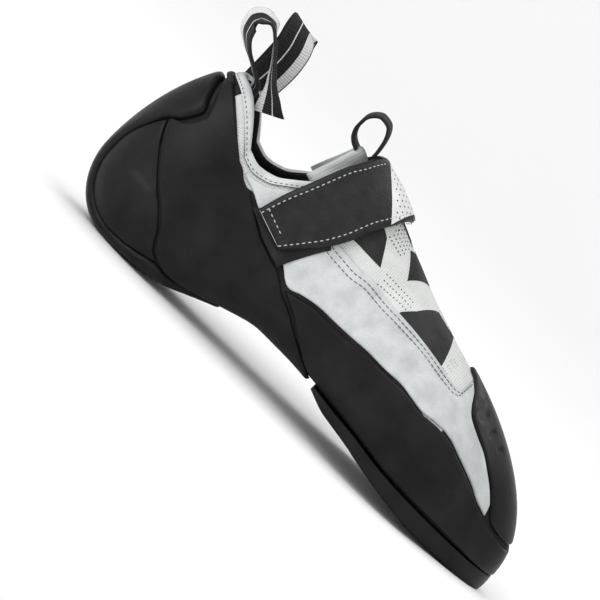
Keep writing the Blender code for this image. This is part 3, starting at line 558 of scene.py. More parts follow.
def piece(name, points, faces, materials, uvs=None, kinds=None, nodes=()):
    """A smooth mesh that rides on the shoe and stands for the CAD nodes given."""
    mesh = bpy.data.meshes.new(name)
    mesh.from_pydata(points, [], faces)
    for material in materials:
        mesh.materials.append(material)
    if kinds:
        mesh.polygons.foreach_set("material_index", kinds)
    if uvs:
        layer = mesh.uv_layers.new(name="UVMap")
        for loop in mesh.loops:
            layer.data[loop.index].uv = uvs[loop.vertex_index]
    build = bmesh.new()
    build.from_mesh(mesh)
    bmesh.ops.remove_doubles(build, verts=build.verts, dist=WELD)
    bmesh.ops.recalc_face_normals(build, faces=build.faces)
    build.to_mesh(mesh)
    build.free()
    mesh.shade_smooth()
    mesh.set_sharp_from_angle(angle=math.radians(SHARP_ANGLE))
    made = bpy.data.objects.new(name, mesh)
    bpy.context.collection.objects.link(made)
    for node in nodes:
        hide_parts(node)
    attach(made, "root")
    return made


def lengths(points):
    """Distance along a list of points."""
    run = [0.0]
    for a, b in zip(points, points[1:]):
        run.append(run[-1] + (a - b).length)
    return run


def sheet(name, rows, inner, outer, materials, nodes=(), crest="collar", shape=None,
          tuck=None, rounded=(True, True), drop=0.85, paint=None):
    """A sheet over rows of places with rounded borders. shape adds to the outer offset.

    paint gives the number of the outer face's material at a place; the last material is inside.
    """
    base = [[skin(*place, crest) for place in row] for row in rows]
    out = [[normal(*place, crest) for place in row] for row in rows]
    across = [lengths(row) for row in base]
    along = [lengths(column) for column in zip(*base)]
    thick = outer - inner
    high = []
    low = []
    uvs = []
    for i, row in enumerate(rows):
        for j, place in enumerate(row):
            near = []
            if rounded[0]:
                near += [across[i][j], across[i][-1] - across[i][j]]
            if rounded[1]:
                near += [along[j][i], along[j][-1] - along[j][i]]
            share = min(1.0, min(near) / thick) if near else 1.0
            lift = 1 - drop + drop * math.sqrt(max(0.0, 1 - (1 - share) ** 2))
            shift = tuck(place) if tuck else 0.0
            extra = shape(place, base[i][j]) * share if shape else 0.0
            high.append(base[i][j] + out[i][j] * (inner + thick * lift + extra + shift))
            low.append(base[i][j] + out[i][j] * (inner + shift))
            uvs.append((along[len(row) // 2][i] / MM, across[i][j] / MM))
    wide = len(rows[0])
    count = len(high)
    tops = grid(len(rows), wide)
    ring = [i * wide for i in range(len(rows))] + [(len(rows) - 1) * wide + j for j in range(1, wide)]
    ring += [i * wide + wide - 1 for i in reversed(range(len(rows) - 1))]
    ring += list(reversed(range(1, wide - 1)))
    rims = [(a, b, b + count, a + count) for a, b in zip(ring, ring[1:] + ring[:1])]
    under = [tuple(v + count for v in reversed(face)) for face in tops]
    painted = [paint(place) if paint else 0 for row in rows[:-1] for place in row[:-1]]
    kinds = painted + [len(materials) - 1] * len(under) + [0] * len(rims)
    return piece(name, high + low, tops + under + rims, materials, uvs * 2, kinds, nodes)


def put(tree, socket, value):
    """Links a socket to another one, or sets its number or colour."""
    if isinstance(value, bpy.types.NodeSocket):
        tree.links.new(value, socket)
    else:
        socket.default_value = value


def node(tree, kind, **inputs):
    """Adds a shader node. Names with a capital are inputs and the others are properties."""
    made = tree.nodes.new(kind)
    for key, value in inputs.items():
        if key[0].islower():
            setattr(made, key, value)
        else:
            put(tree, made.inputs[key.replace("_", " ")], value)
    return made


def maths(tree, operation, *values):
    made = node(tree, "ShaderNodeMath", operation=operation)
    for socket, value in zip(made.inputs, values):
        put(tree, socket, value)
    return made.outputs["Value"]


def blend(tree, factor, first, second):
    """The mix of two colours, each given as a socket or as three numbers."""
    mix = node(tree, "ShaderNodeMix", data_type="RGBA", Factor=factor)
    for number, colour in zip(MIX_COLOURS, (first, second)):
        put(tree, mix.inputs[number], (*colour, 1) if isinstance(colour, tuple) else colour)
    return mix.outputs[MIX_RESULT]


def bump(tree, height, strength, depth, before=None):
    """The normal of a bump, laid over an earlier one if given."""
    made = node(tree, "ShaderNodeBump", Strength=strength, Distance=depth, Height=height)
    if before:
        put(tree, made.inputs["Normal"], before)
    return made.outputs["Normal"]


def waves(tree, coords, direction, period, **more):
    """Even waves, one in each period."""
    made = node(tree, "ShaderNodeTexWave", Vector=coords, Scale=WAVE_SCALE / period,
                bands_direction=direction, **more)
    return made.outputs["Fac"]


def surface(name, colour, roughness, **sockets):
    material = bpy.data.materials.new(name)
    material.use_nodes = True
    shader = material.node_tree.nodes["Principled BSDF"]
    shader.inputs["Base Color"].default_value = (*colour, 1)
    shader.inputs["Roughness"].default_value = roughness
    for key, value in sockets.items():
        shader.inputs[key.replace("_", " ")].default_value = value
    material.diffuse_color = (*colour, 1)
    return material, material.node_tree, shader


def mottle(tree, shader, coords, scale, dark, light):
    """Colour that drifts between two tones."""
    noise = node(tree, "ShaderNodeTexNoise", Vector=coords, Scale=scale, Detail=5.0)
    ramp = node(tree, "ShaderNodeMapRange", Value=noise.outputs["Fac"], From_Min=0.35, From_Max=0.65)
    put(tree, shader.inputs["Base Color"], blend(tree, ramp.outputs["Result"], dark, light))


def grain(tree, shader, coords, layers):
    """Bump from layers of (texture kind, scale, strength, depth)."""
    before = None
    for kind, scale, strength, depth in layers:
        texture = node(tree, kind, Vector=coords, Scale=scale)
        height = texture.outputs["Fac" if "Noise" in kind else "Distance"]
        before = bump(tree, height, strength, depth, before)
    put(tree, shader.inputs["Normal"], before)


def rough_drift(tree, shader, coords, scale, low, high):
    noise = node(tree, "ShaderNodeTexNoise", Vector=coords, Scale=scale, Detail=4.0)
    spread = node(tree, "ShaderNodeMapRange", Value=noise.outputs["Fac"], To_Min=low, To_Max=high)
    put(tree, shader.inputs["Roughness"], spread.outputs["Result"])


def rubber_material():
    material, tree, shader = surface("black_rubber", (0.006, 0.006, 0.0065), 0.5, Specular_IOR_Level=0.15)
    coords = node(tree, "ShaderNodeTexCoord").outputs["Object"]
    mottle(tree, shader, coords, 60.0, (0.004, 0.004, 0.0045), (0.010, 0.010, 0.011))
    rough_drift(tree, shader, coords, 45.0, 0.34, 0.55)
    grain(tree, shader, coords, [("ShaderNodeTexNoise", 1500.0, 0.40, 0.0002),
                                 ("ShaderNodeTexNoise", 400.0, 0.22, 0.0004),
                                 ("ShaderNodeTexNoise", 60.0, 0.20, 0.0012)])
    return material


def leather_material(name, dark, light, rough):
    material, tree, shader = surface(name, light, rough, Specular_IOR_Level=0.25)
    coords = node(tree, "ShaderNodeTexCoord").outputs["Object"]
    mottle(tree, shader, coords, 150.0, dark, light)
    rough_drift(tree, shader, coords, 90.0, rough - 0.08, rough + 0.12)
    grain(tree, shader, coords, [("ShaderNodeTexVoronoi", 900.0, 0.40, 0.0003),
                                 ("ShaderNodeTexNoise", 420.0, 0.40, 0.0005),
                                 ("ShaderNodeTexNoise", 60.0, 0.30, 0.0014)])
    return material


def woven_material(name, dark, light, rough, period=0.9, strength=0.5):
    """Cloth with crossing threads, a period of so many millimetres."""
    material, tree, shader = surface(name, light, rough, Specular_IOR_Level=0.2)
    coords = node(tree, "ShaderNodeTexCoord").outputs
    mottle(tree, shader, coords["Object"], 70.0, dark, light)
    weave = maths(tree, "MULTIPLY", waves(tree, coords["UV"], "X", period),
                  waves(tree, coords["UV"], "Y", period))
    fuzz = node(tree, "ShaderNodeTexNoise", Vector=coords["Object"], Scale=2200.0).outputs["Fac"]
    woven = bump(tree, weave, strength, 0.0003)
    put(tree, shader.inputs["Normal"], bump(tree, fuzz, 0.25, 0.0002, woven))
    return material


def webbing_material(name, dark, pale, stripes):
    """Ribbed webbing. stripes are (from, to) across it in millimetres, in the pale colour."""
    material, tree, shader = surface(name, dark, 0.7, Specular_IOR_Level=0.25)
    uv = node(tree, "ShaderNodeTexCoord").outputs["UV"]
    across = node(tree, "ShaderNodeSeparateXYZ", Vector=uv).outputs["Y"]
    colour = dark
    for start, end in stripes:
        inside = maths(tree, "COMPARE", across, (start + end) / 2, (end - start) / 2)
        colour = blend(tree, inside, colour, pale)
    if stripes:
        put(tree, shader.inputs["Base Color"], colour)
    ribs = bump(tree, waves(tree, uv, "X", 1.1, Distortion=0.6), 0.6, 0.0004)
    put(tree, shader.inputs["Normal"], bump(tree, waves(tree, uv, "Y", 0.8), 0.4, 0.0003, ribs))
    return material


def segment_distance(x, z, line):
    """Distance in the side view from a point to a line's run, and the share along it."""
    ax, az, bx, bz = line
    run = (bx - ax) ** 2 + (bz - az) ** 2
    t = min(1.0, max(0.0, ((x - ax) * (bx - ax) + (z - az) * (bz - az)) / run))
    return math.hypot(x - ax - (bx - ax) * t, z - az - (bz - az) * t), t


# Soft folds in the side view: ends and how deep and wide each is, in millimetres.
Fold = namedtuple("Fold", "x0 z0 x1 z1 deep wide")
FOLDS = [
    Fold(104, 52, 128, 68, 0.55, 4.0),
    Fold(116, 46, 146, 60, 0.45, 4.5),
    Fold(92, 60, 108, 78, 0.40, 4.0),
    Fold(134, 48, 158, 50, 0.35, 5.0),
    Fold(60, 44, 84, 60, 0.35, 5.0),
]


def folds(place, point):
    """Troughs with a low ridge on either side."""
    total = 0.0
    for fold in FOLDS:
        away, t = segment_distance(point.x / MM, point.z / MM, (fold.x0, fold.z0, fold.x1, fold.z1))
        ends = math.sin(math.pi * min(1.0, max(0.0, 0.1 + 0.8 * t)))
        near = away / fold.wide
        total -= fold.deep * ends * (1 - 0.8 * near * near) * math.exp(-near * near)
    return total * MM


# Dimples in the toe patch in the side view: place and half sizes in millimetres.
Dimple = namedtuple("Dimple", "x z long short")
DIMPLES = [Dimple(167.0, 56.5, 2.6, 1.5), Dimple(174.8, 53.0, 1.5, 1.2), Dimple(182.1, 49.9, 1.2, 1.0),
           Dimple(162.0, 59.6, 1.5, 1.0)]


def dimples(place, point):
    total = 0.0
    if place[0] == LATERAL:
        for spot in DIMPLES:
            x = (point.x / MM - spot.x) * 0.9 - (point.z / MM - spot.z) * 0.44
            z = (point.z / MM - spot.z) * 0.9 + (point.x / MM - spot.x) * 0.44
            away = math.hypot(x / spot.long, z / spot.short)
            total -= 0.9 / (1 + math.exp((away - 1) * 9))
    return total * MM


# Overlap edges of the rand's layers in the side view, in millimetres: each steps down ahead of it.
LAYER_EDGES = [(124.0, 12.5, 128.0, 24.0, 138.0, 37.0), (172.0, 24.0, 187.0, 30.0, 196.0, 38.0)]


def rand_layers(place, point):
    total = 0.0
    x, z = point.x / MM, point.z / MM
    for x0, z0, x1, z1, x2, z2 in LAYER_EDGES:
        share = (z - z0) / (z1 - z0) if z < z1 else 1 + (z - z1) / (z2 - z1)
        line = x0 + (x1 - x0) * share if share < 1 else x1 + (x2 - x1) * (share - 1)
        total -= 0.28 / (1 + math.exp(-(x - line) * 2.2))
    return total * MM


def heel_recess(place, point):
    """The shallow D-shaped hollow low on the heel's side."""
    x, z = point.x / MM, point.z / MM
    along = (x + 12.5) / 11.0
    up = (z - 30.5) / (9.0 + 7.0 * (1 - min(1.0, max(0.0, along))))
    inside = min(along, 1 - along, up * 1.2, (1 - up) * 1.1)
    return -0.75 * MM / (1 + math.exp(-inside * 22))


def build_upper(cloth, lining):
    """The lasted upper. It is pale on the vamp and at the collar, and dark where rubber and leather cover
    it; where that dark face shows in the gaps between the panels it is painted shade.
    """
    # Outside the vamp and the collar the outer face takes the dark lining colour, painted shade for the
    # gaps between the panels.
    def pale_or_painted_shade(place):
        side, u, h = place
        on_vamp = VAMP_START < u < VAMP_END and h > VAMP_FOOT
        at_collar = COLLAR_START < u <= VAMP_START and h > COLLAR_FOOT
        return 0 if on_vamp or at_collar else 1

    ring = steps(0, 1, 36) + steps(1, 2, 90)[1:] + steps(2, 3, 44)[1:]
    heights = [-0.30, -0.15] + steps(0, WIDE_AT, 10) + steps(WIDE_AT, 1, 40)[1:]
    rows = [[(side, u, h) for h in heights] for side, u in both_sides(ring)]
    sheet("upper_shell", rows, -WALL, 0.0, [cloth, lining], ["upper"], shape=folds,
          rounded=(True, False), drop=0.3, paint=pale_or_painted_shade)


def build_insole(lining):
    ring = steps(0, 1, 20) + steps(1, 2, 50)[1:] + steps(2, 3, 24)[1:]
    half = [-1.0, -0.75, -0.5, -0.3, -0.1]
    rows = [[(LATERAL, u, h) for h in reversed(half)] + [(MEDIAL, u, h) for h in half[1:]] for u in ring]
    sheet("footbed", rows, -WALL - GAP - INSOLE, -WALL - GAP, [lining], ["insole"],
          rounded=(False, False))


def sole_point(side, u, h, under):
    """As in the solid: the top follows the last, the underside is a thickness below."""
    start = u_of(SOLE_START * LENGTH)
    if h <= 0:
        point = skin(side, u, h)
    else:
        edge = skin(side, u, 0.0)
        out = skin(side, u, WIDE_AT) - edge
        out.z = 0
        point = edge + out * (h * SOLE_REACH) + out.normalized() * RAND * h
    point.z -= GAP
    if under:
        share = min(1.0, (u - start) / (2.25 - start))
        skive = min(1.0, (u - start) / (u_of(SOLE_SKIVE * LENGTH) - 1))
        thick = SOLE_REAR + (SOLE_TOE - SOLE_REAR) * share
        thick *= 0.45 + 0.55 * math.sin(math.pi / 2 * skive)
        point.z = max(0.0, point.z - thick)
    return point


def build_outsole(rubber):
    """The outsole as one skin: over the top, round the side with eased corners and under."""
    start = u_of(SOLE_START * LENGTH)
    ring = both_sides(steps(start, 2, 60) + steps(2, 3, 50)[1:])
    corner = [math.radians(turn) for turn in (0, 30, 60, 90)]
    points = []
    for side, u in ring:
        points += [sole_point(side, u, h, False) for h in SOLE_ACROSS]
        high = sole_point(side, u, 1.0, False)
        low = sole_point(side, u, 1.0, True)
        inward = sole_point(side, u, 0.5, False) - high
        inward.z = 0
        inward.normalize()
        edge = min(SOLE_ROUND, (high - low).length * 0.3)
        for angle in corner:
            drop = Vector((0, 0, 1 - math.cos(angle)))
            points.append(high + (inward * (1 - math.sin(angle)) - drop) * edge * SOLE_TOP_ROUND)
        for share in (0.25, 0.5, 0.75):
            points.append(high.lerp(low, share) - inward * SOLE_BOW * math.sin(share * math.pi))
        for angle in reversed(corner):
            rise = Vector((0, 0, 1 - math.cos(angle)))
            points.append(low + (inward * (1 - math.sin(angle)) + rise) * edge)
        points += [sole_point(side, u, h, True) for h in reversed(SOLE_ACROSS)]
    wide = len(points) // len(ring)
    side_line = points[len(SOLE_ACROSS) + 2::wide]
    uvs = [(run / MM, j) for run in lengths(side_line) for j in range(wide)]
    piece("front_sole", points, loft(len(ring), wide, False), [rubber], uvs, nodes=["outsole"])


def floor_stop(made):
    """Nothing reaches below the floor."""
    for vertex in made.data.vertices:
        vertex.co.z = max(vertex.co.z, 0.0)


def build_rubber(rubber):
    tread = sheet("heel_sole", strip(TREAD_STRIPS, 5, 16), GAP, GAP + TREAD, [rubber],
                  ["heel_tread"], drop=0.6)
    floor_stop(tread)
    arch = [[(LATERAL, u, h) for h in (-0.38, -0.5, -0.7, -0.85, -1.0)]
            + [(MEDIAL, u, h) for h in (-0.85, -0.7, -0.5, -0.38)] for u in steps(1.285, 1.60, 40)]
    sheet("arch_strip", arch, GAP, GAP + SLING, [rubber], ["arch_band"])
    for side, name in ((LATERAL, "lateral"), (MEDIAL, "medial")):
        cup = band(side, CUP_LOWER, CUP_UPPER, 5, 20, 1.2 * MM)
        sheet("heel_side_" + name, cup, GAP, GAP + CUP, [rubber], ["heel_cup_" + name],
              shape=heel_recess)
        rows = band(side, SLING_REAR, SLING_FRONT, 5, 34)
        sheet("sling_rubber_" + name, rows, GAP, GAP + SLING, [rubber], ["sling_" + name])
    lateral, medial = (band(side, RAND_FOOT, RAND_TOP, 5, 26) for side in (LATERAL, MEDIAL))
    rand = sheet("rand_rubber", lateral + medial[:-1][::-1], GAP, GAP + RAND, [rubber], ["rand"],
                 shape=rand_layers)
    floor_stop(rand)
    sheet("toe_rubber", strip(TOE_STRIPS, 8, 34, edge=1.2 * MM), GAP, GAP + TOE_PATCH, [rubber],
          ["toe_patch"], shape=dimples)


def build_quarters(leather):
    for side, name in ((LATERAL, "lateral"), (MEDIAL, "medial")):
        rows = strip(QUARTER_STRIPS, 5, 24, (side,), 1.0 * MM)
        sheet("leather_" + name, rows, GAP, GAP + LEATHER, [leather], ["quarter_" + name],
              shape=folds)


def build_tongue(cloth):
    def tuck(place):
        side, u, h = place
        under = min(1.0, max(0.0, (THROAT(u) + 0.15 - h) / 0.12))
        return -TONGUE_TUCK * under * min(1.0, max(0.0, (1.42 - u) / 0.08))

    sheet("tongue_pad", over_band(TONGUE_REAR, TONGUE_FRONT, 5, 24), -WALL - TONGUE_GAP - TONGUE,
          -WALL - TONGUE_GAP, [cloth], ["tongue"], "instep", tuck=tuck)


def build_strap(strap, pale, hooks):
    sheet("instep_strap", over_band(STRAP_REAR, STRAP_FRONT, 5, 24), STRAP_LIFT, STRAP_LIFT + STRAP,
          [strap], ["strap"], "instep")
    for side, where in ((LATERAL, "lateral"), (MEDIAL, "medial")):
        print_patch("strap_print_" + where, side, *STRAP_PRINT_BORDERS, STRAP_LIFT + STRAP + PRINT_LIFT / 2,
                    pale, "strap_leather", "instep")
    base = GAP + LEATHER + 1.5 * GAP
    sheet("hook_patch", band(LATERAL, PATCH_LOWER, PATCH_UPPER, 8, 14, 0.8 * MM, 0.0), base, base + PATCH,
          [hooks], ["closure_patch"])


def collar_rim(side, u):
    """A point of the collar's edge, the way out from it and the way up."""
    top = skin(side, u, 1.0)
    return top, normal(side, u, 1.0), (top - skin(side, u, 0.97)).normalized()


def build_binding(leather, lining):
    """The rolled band over the collar's edge, pale outside and dark inside."""
    ring = both_sides(steps(1.25, 1, 24) + steps(1, 0, 36)[1:])
    inner = WALL / 2 + 1.4 * GAP
    profile = []
    for radius in (inner + BINDING, inner):
        roll = [(radius * math.cos(a), radius * math.sin(a) * 0.9) for a in steps(0, math.pi, 10)]
        line = [(radius, -BINDING_LEG), (radius, -BINDING_LEG * 0.5)] + roll
        line += [(-radius, -BINDING_LEG * 0.5), (-radius, -BINDING_LEG)]
        profile += line if radius > inner else line[::-1]
    rims = [collar_rim(side, u) for side, u in ring]
    points = []
    for top, out, up in rims:
        points += [top - out * (WALL / 2) + out * x + up * y for x, y in profile]
    wide = len(profile)
    uvs = [(run / MM, k) for run in lengths([rim[0] for rim in rims]) for k in range(wide)]
    faces = loft(len(ring), wide)
    bands = (len(ring) - 1) * wide
    kinds = [0 if k < bands and k % wide < PALE_FACES else 1 for k in range(len(faces))]
    piece("collar_edge", points, faces, [leather, lining], uvs, kinds, ["collar_binding"])


def build_heel_band(webbing):
    base = GAP + SLING * 0.7
    ring = both_sides(steps(TAPE_REACH, 0, 20))
    rows = [[(side, u, h) for h in steps(*TAPE_CLIMB, 8)] for side, u in ring]
    sheet("heel_tape", rows, base, base + BAND, [webbing], ["heel_band"])


def ribbon(name, stands_for, base, path, material, per=8):
    """Webbing bent along a path, with rounded selvedges."""
    rows = [Ribbon(*row) for row in between(path, per)]
    centres = [Vector(base) + Vector((row.x, row.y, row.z)) * LOOP_RISE for row in rows]
    section = []
    for share in steps(-1, 1, 16):
        section.append((share, math.sqrt(max(0.0, 1 - max(0.0, abs(share) * 8 - 7) ** 2))))
    points = []
    uvs = []
    run = lengths(centres)
    for i, row in enumerate(rows):
        before = centres[max(i - 1, 0)]
        after = centres[min(i + 1, len(centres) - 1)]
        turn = math.radians(row.turn)
        bank = math.radians(row.bank)
        way = (after - before).normalized()
        across = Vector((math.sin(turn), math.cos(turn), 0))
        across = (across - way * across.dot(way)).normalized()
        out = way.cross(across)
        across, out = (across * math.cos(bank) + out * math.sin(bank),
                       out * math.cos(bank) - across * math.sin(bank))
        for face in (1, -1):
            for share, full in section[::face]:
                points.append(centres[i] + across * share * LOOP_WIDTH / 2
                              + out * face * WEBBING / 2 * (0.2 + 0.8 * full))
                uvs.append((run[i] / MM, (share + 1) * LOOP_WIDTH / 2 / MM))
    faces = loft(len(rows), len(section) * 2)
    piece(name, points, faces, [material], uvs, nodes=[stands_for])


def thread(name, paths, stitch, material):
    """Stitches: short rounded threads at even steps along each path of (point, outward) pairs."""
    rings = THREAD_STEPS + 1
    ends = [range(THREAD_SIDES - 1, -1, -1), range(THREAD_STEPS * THREAD_SIDES, rings * THREAD_SIDES)]
    one = grid(rings, THREAD_SIDES, True) + ends
    points = []
    faces = []
    for path in paths:
        run = lengths([point for point, out in path])
        at_run = [Curve(run, [point[axis] for point, out in path]) for axis in range(3)]
        out_run = [Curve(run, [out[axis] for point, out in path]) for axis in range(3)]
        start = stitch.gap
        while start + stitch.long < run[-1]:
            shares = steps(0, 1, THREAD_STEPS)
            spine = [Vector([line(start + stitch.long * share) for line in at_run]) for share in shares]
            out = Vector([line(start + stitch.long / 2) for line in out_run]).normalized()
            way = (spine[-1] - spine[0]).normalized()
            across = way.cross(out)
            first = len(points)
            for share, centre in zip(shares, spine):
                bulge = math.sqrt(max(0.04, 1 - (2 * share - 1) ** 4))
                sunk = centre - out * stitch.radius * 0.5 * (1 - bulge)
                for turn in range(THREAD_SIDES):
                    angle = turn * 2 * math.pi / THREAD_SIDES
                    round_out = across * math.cos(angle) + out * math.sin(angle)
                    points.append(sunk + round_out * stitch.radius * bulge)
            faces += [tuple(first + v for v in face) for face in one]
            start += stitch.long + stitch.gap
    piece(name, points, faces, [material])


def one_thread(name, path, radius, share, material):
    """A single thread along a share of a path."""
    long = (path[-1][0] - path[0][0]).length * share
    thread(name, [path], Stitch(radius, long, 0.2 * MM), material)


def line_on(side, table, per, distance, shift=(0.0, 0.0), crest="collar"):
    """(point, outward) pairs along a border line, moved by a little in ring and climb."""
    pairs = []
    for row in between(table, per):
        place = (side, row[0] + shift[0], row[1] + shift[1])
        out = normal(*place, crest)
        pairs.append((skin(*place, crest) + out * distance, out))
    return pairs


def part_way(a, b, share, lift=0.0):
    """A border place between two others, lifted by a little climb."""
    return Edge(a.ring + (b.ring - a.ring) * share, a.climb + (b.climb - a.climb) * share + lift)


def build_stitches(dark, pale):
    seam = [Edge(row.ring, row.climb) for row in QUARTER_STRIPS[5:18]]
    paths = [line_on(side, seam, 6, GAP + LEATHER, (0.0, -inset))
             for side in (LATERAL, MEDIAL) for inset in (0.025, 0.048)]
    thread("quarter_stitches", paths, QUARTER_STITCH, dark)

    top = STRAP_LIFT + STRAP
    paths = []
    for side in (LATERAL, MEDIAL):
        for inset in (0.10, 0.90):
            line = [part_way(a, b, inset) for a, b in zip(STRAP_REAR, STRAP_FRONT)]
            paths.append(line_on(side, line[:-1], 6, top, crest="instep"))
    ends = (STRAP_REAR[0], STRAP_FRONT[0])
    end = [part_way(*ends, t, 0.028) for t in steps(0.12, 0.88, 5)]
    paths.append(line_on(LATERAL, end, 6, top, crest="instep"))
    raw = [part_way(*ends, t, 0.006) for t in steps(0.03, 0.97, 8)]
    edge = line_on(LATERAL, raw, 4, top - 0.3 * MM, crest="instep")
    one_thread("strap_raw_edge", edge, 0.13 * MM, 0.97, pale)
    thread("strap_stitches", paths, STRAP_STITCH, pale)

    lift = 1.4 * GAP + BINDING
    paths = []
    for side in (LATERAL, MEDIAL):
        rims = [collar_rim(side, u) for u in steps(0.05, 1.24, 80)]
        paths.append([(top + out * lift - up * BINDING_LEG * 0.6, out) for top, out, up in rims])
    thread("binding_stitches", paths, BINDING_STITCH, dark)


def print_patch(name, side, lower, upper, lift, material, slot="textile", crest="collar",
                per=6, across=10):
    """A thin print on the skin between two borders of (ring, climb)."""
    borders = []
    for border in (lower, upper):
        fine = [[a[k] + (b[k] - a[k]) * i / per for k in (0, 1)]
                for a, b in zip(border, border[1:]) for i in range(per)]
        borders.append(fine + [list(border[-1])])
    points = []
    for low, high in zip(*borders):
        for t in steps(0, 1, across):
            place = (side, low[0] + (high[0] - low[0]) * t, low[1] + (high[1] - low[1]) * t)
            point = skin(*place, crest)
            fold = folds(place, point) if crest == "collar" else 0.0
            points.append((point, point + normal(*place, crest) * (lift + fold)))
    uvs = [(point.x / MM, point.z / MM) for point, lifted in points]
    faces = [(a, d, c, b) for a, b, c, d in grid(len(borders[0]), across + 1)]
    piece(name, [lifted for point, lifted in points], faces, [material], uvs)


def field_places(field, side, inside=None):
    """The places of a field's spots, each second row set off by half a step."""
    places = []
    for i in range(field.columns):
        for j in range(field.rows):
            ring = field.ring + (i + 0.5 * (j % 2)) * field.along
            climb = field.climb + j * field.up + (ring - field.ring) * field.slope
            if climb < 0.99 and (inside is None or inside(ring, climb)):
                places.append((side, ring, climb))
    return places


def dots(name, places, radius, lift, material, crest="collar"):
    """Small printed spots."""
    points = []
    faces = []
    for place in places:
        out = normal(*place, crest)
        point = skin(*place, crest)
        side_way = out.cross(Vector((0, 0, 1))).normalized()
        up = out.cross(side_way)
        centre = point + out * (lift + (folds(place, point) if crest == "collar" else 0.0))
        first = len(points)
        points += [centre + (side_way * math.cos(a) + up * math.sin(a)) * radius
                   for a in [math.pi * k / 4 for k in range(8)]]
        faces.append(tuple(range(first, first + 8)))
    piece(name, points, faces, [material])


def build_prints(ink):
    """Plain triangles and spots on the vamp, spots on the strap and the dark edge of the throat."""
    for side, where in ((LATERAL, "lateral"), (MEDIAL, "medial")):
        for i, (lower, upper) in enumerate(PRINTS):
            print_patch("vamp_print_%s_%d" % (where, i + 1), side, lower, upper, PRINT_LIFT, ink)
        for i, field in enumerate(FIELDS):
            dots("vamp_spots_%s_%d" % (where, i + 1), field_places(field, side), field.radius, PRINT_LIFT,
                 ink)
        spots = field_places(STRAP_FIELD, side, lambda ring, climb: climb > STRAP_PRINT(ring) + 0.02)
        dots("strap_spots_" + where, spots, STRAP_FIELD.radius, STRAP_LIFT + STRAP + PRINT_LIFT, ink,
             "instep")
    edge = [(skin(LATERAL, u, 1.0), normal(LATERAL, u, 1.0)) for u in steps(1.44, 1.585, 12)]
    one_thread("throat_edge", edge, 0.6 * MM, 0.95, ink)


def build_stage():
    """A pale floor that rises into a backdrop behind the shoe."""
    bend = [(FLOOR_BACK + BEND * math.sin(a), BEND * (1 - math.cos(a))) for a in steps(0, math.pi / 2, 12)]
    profile = [(-5.0, 0.0)] + bend + [(FLOOR_BACK + BEND, 3.0)]
    points = [Vector((x, y, z)) for y, z in profile for x in (-6.0, 6.0)]
    mesh = bpy.data.meshes.new("floor")
    mesh.from_pydata(points, [], grid(len(profile), 2))
    mesh.shade_smooth()
    floor = bpy.data.objects.new("floor", mesh)
    bpy.context.collection.objects.link(floor)
    mesh.materials.append(surface("pale_floor", (0.93, 0.93, 0.93), 0.9)[0])


def build_camera_and_lights():
    """The photo's view: from the lateral side, a little above, the toe turned down to the right."""
    tilt = math.radians(VIEW_TILT)
    roll = math.radians(VIEW_ROLL)
    level = Vector((1, 0, 0))
    rise = Vector((0, math.sin(tilt), math.cos(tilt)))
    right = level * math.cos(roll) + rise * math.sin(roll)
    up = rise * math.cos(roll) - level * math.sin(roll)
    back = right.cross(up)
    scene = bpy.context.scene
    camera = bpy.data.objects.new("camera", bpy.data.cameras.new("camera"))
    camera.data.type = "ORTHO"
    camera.data.ortho_scale = VIEW_WIDTH
    bpy.context.collection.objects.link(camera)
    turn = Matrix((right, up, back)).transposed()
    camera.matrix_world = Matrix.Translation(VIEW_AIM + back * VIEW_DISTANCE) @ turn.to_4x4()
    scene.camera = camera
    for name, way, size, power in (
            ("key", up * 0.9 + back * 0.7 - right * 0.3, 0.9, 8.5),
            ("fill", right * 0.9 + back * 0.9, 1.2, 3.4),
            ("top", Vector((0.1, 0.3, 1.2)), 0.9, 4.5)):
        lamp = bpy.data.lights.new(name, "AREA")
        lamp.size = size
        lamp.energy = power
        light = bpy.data.objects.new(name, lamp)
        light.location = VIEW_AIM + way
        light.rotation_euler = (-way).to_track_quat("-Z", "Y").to_euler()
        bpy.context.collection.objects.link(light)
    scene.world = bpy.data.worlds.new("studio")
    scene.world.use_nodes = True
    glow = scene.world.node_tree.nodes["Background"]
    glow.inputs["Color"].default_value = (1, 1, 1, 1)
    glow.inputs["Strength"].default_value = WORLD_LIGHT
    scene.view_settings.view_transform = "Standard"


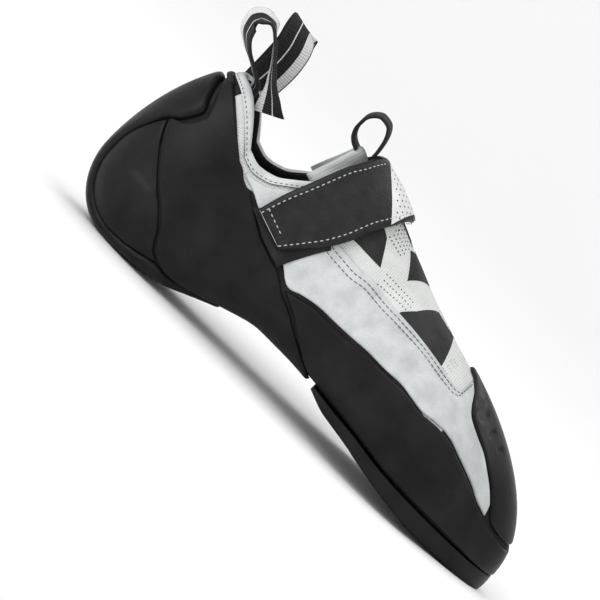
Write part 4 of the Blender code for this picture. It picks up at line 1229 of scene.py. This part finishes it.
def main():
    rubber = rubber_material()
    leather = leather_material("pale_leather", (0.44, 0.46, 0.46), (0.53, 0.55, 0.55), 0.5)
    cloth = woven_material("vamp_cloth", (0.60, 0.61, 0.60), (0.68, 0.69, 0.68), 0.75, 1.1, 0.9)
    strap_print = leather_material("strap_print", (0.60, 0.61, 0.60), (0.70, 0.71, 0.70), 0.55)
    # The dark lining, also put on the upper's outer face as painted shade in the gaps between the panels.
    lining = woven_material("dark_lining_and_painted_shade", (0.012, 0.012, 0.012), (0.022, 0.022, 0.022), 0.9)
    strap = leather_material("strap_leather", (0.007, 0.007, 0.008), (0.014, 0.014, 0.015), 0.45)
    webbing = webbing_material("loop_webbing", (0.010, 0.010, 0.011), (0.58, 0.59, 0.58), LOOP_STRIPES)
    plain = webbing_material("plain_webbing", (0.010, 0.010, 0.011), (0.6, 0.6, 0.6), [])
    tongue = woven_material("tongue_cloth", (0.42, 0.43, 0.43), (0.52, 0.53, 0.53), 0.85, 1.4)
    dark = surface("dark_thread", (0.11, 0.11, 0.12), 0.7)[0]
    pale = surface("pale_thread", (0.42, 0.42, 0.43), 0.7)[0]
    ink = woven_material("printed_ink", (0.012, 0.012, 0.013), (0.03, 0.03, 0.03), 0.7)
    build_upper(cloth, lining)
    build_insole(lining)
    build_outsole(rubber)
    build_rubber(rubber)
    build_quarters(leather)
    build_tongue(tongue)
    build_strap(strap, strap_print, lining)
    build_binding(leather, lining)
    build_heel_band(plain)
    heel_top = 0.944 * HEEL_HEIGHT
    front_base = (0.202 * LENGTH, 0, 0.993 * INSTEP_HEIGHT)
    near_base = (0.002 * LENGTH, -0.037 * BALL_WIDTH, heel_top)
    far_base = (0.0, 0.267 * BALL_WIDTH, heel_top)
    ribbon("front_loop", "pull_loop_front", front_base, FRONT_LOOP, plain)
    ribbon("near_loop", "pull_loop_near", near_base, NEAR_LOOP, webbing)
    ribbon("far_loop", "pull_loop_far", far_base, FAR_LOOP, webbing)
    build_stitches(dark, pale)
    build_prints(ink)
    build_stage()
    build_camera_and_lights()


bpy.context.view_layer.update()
main()
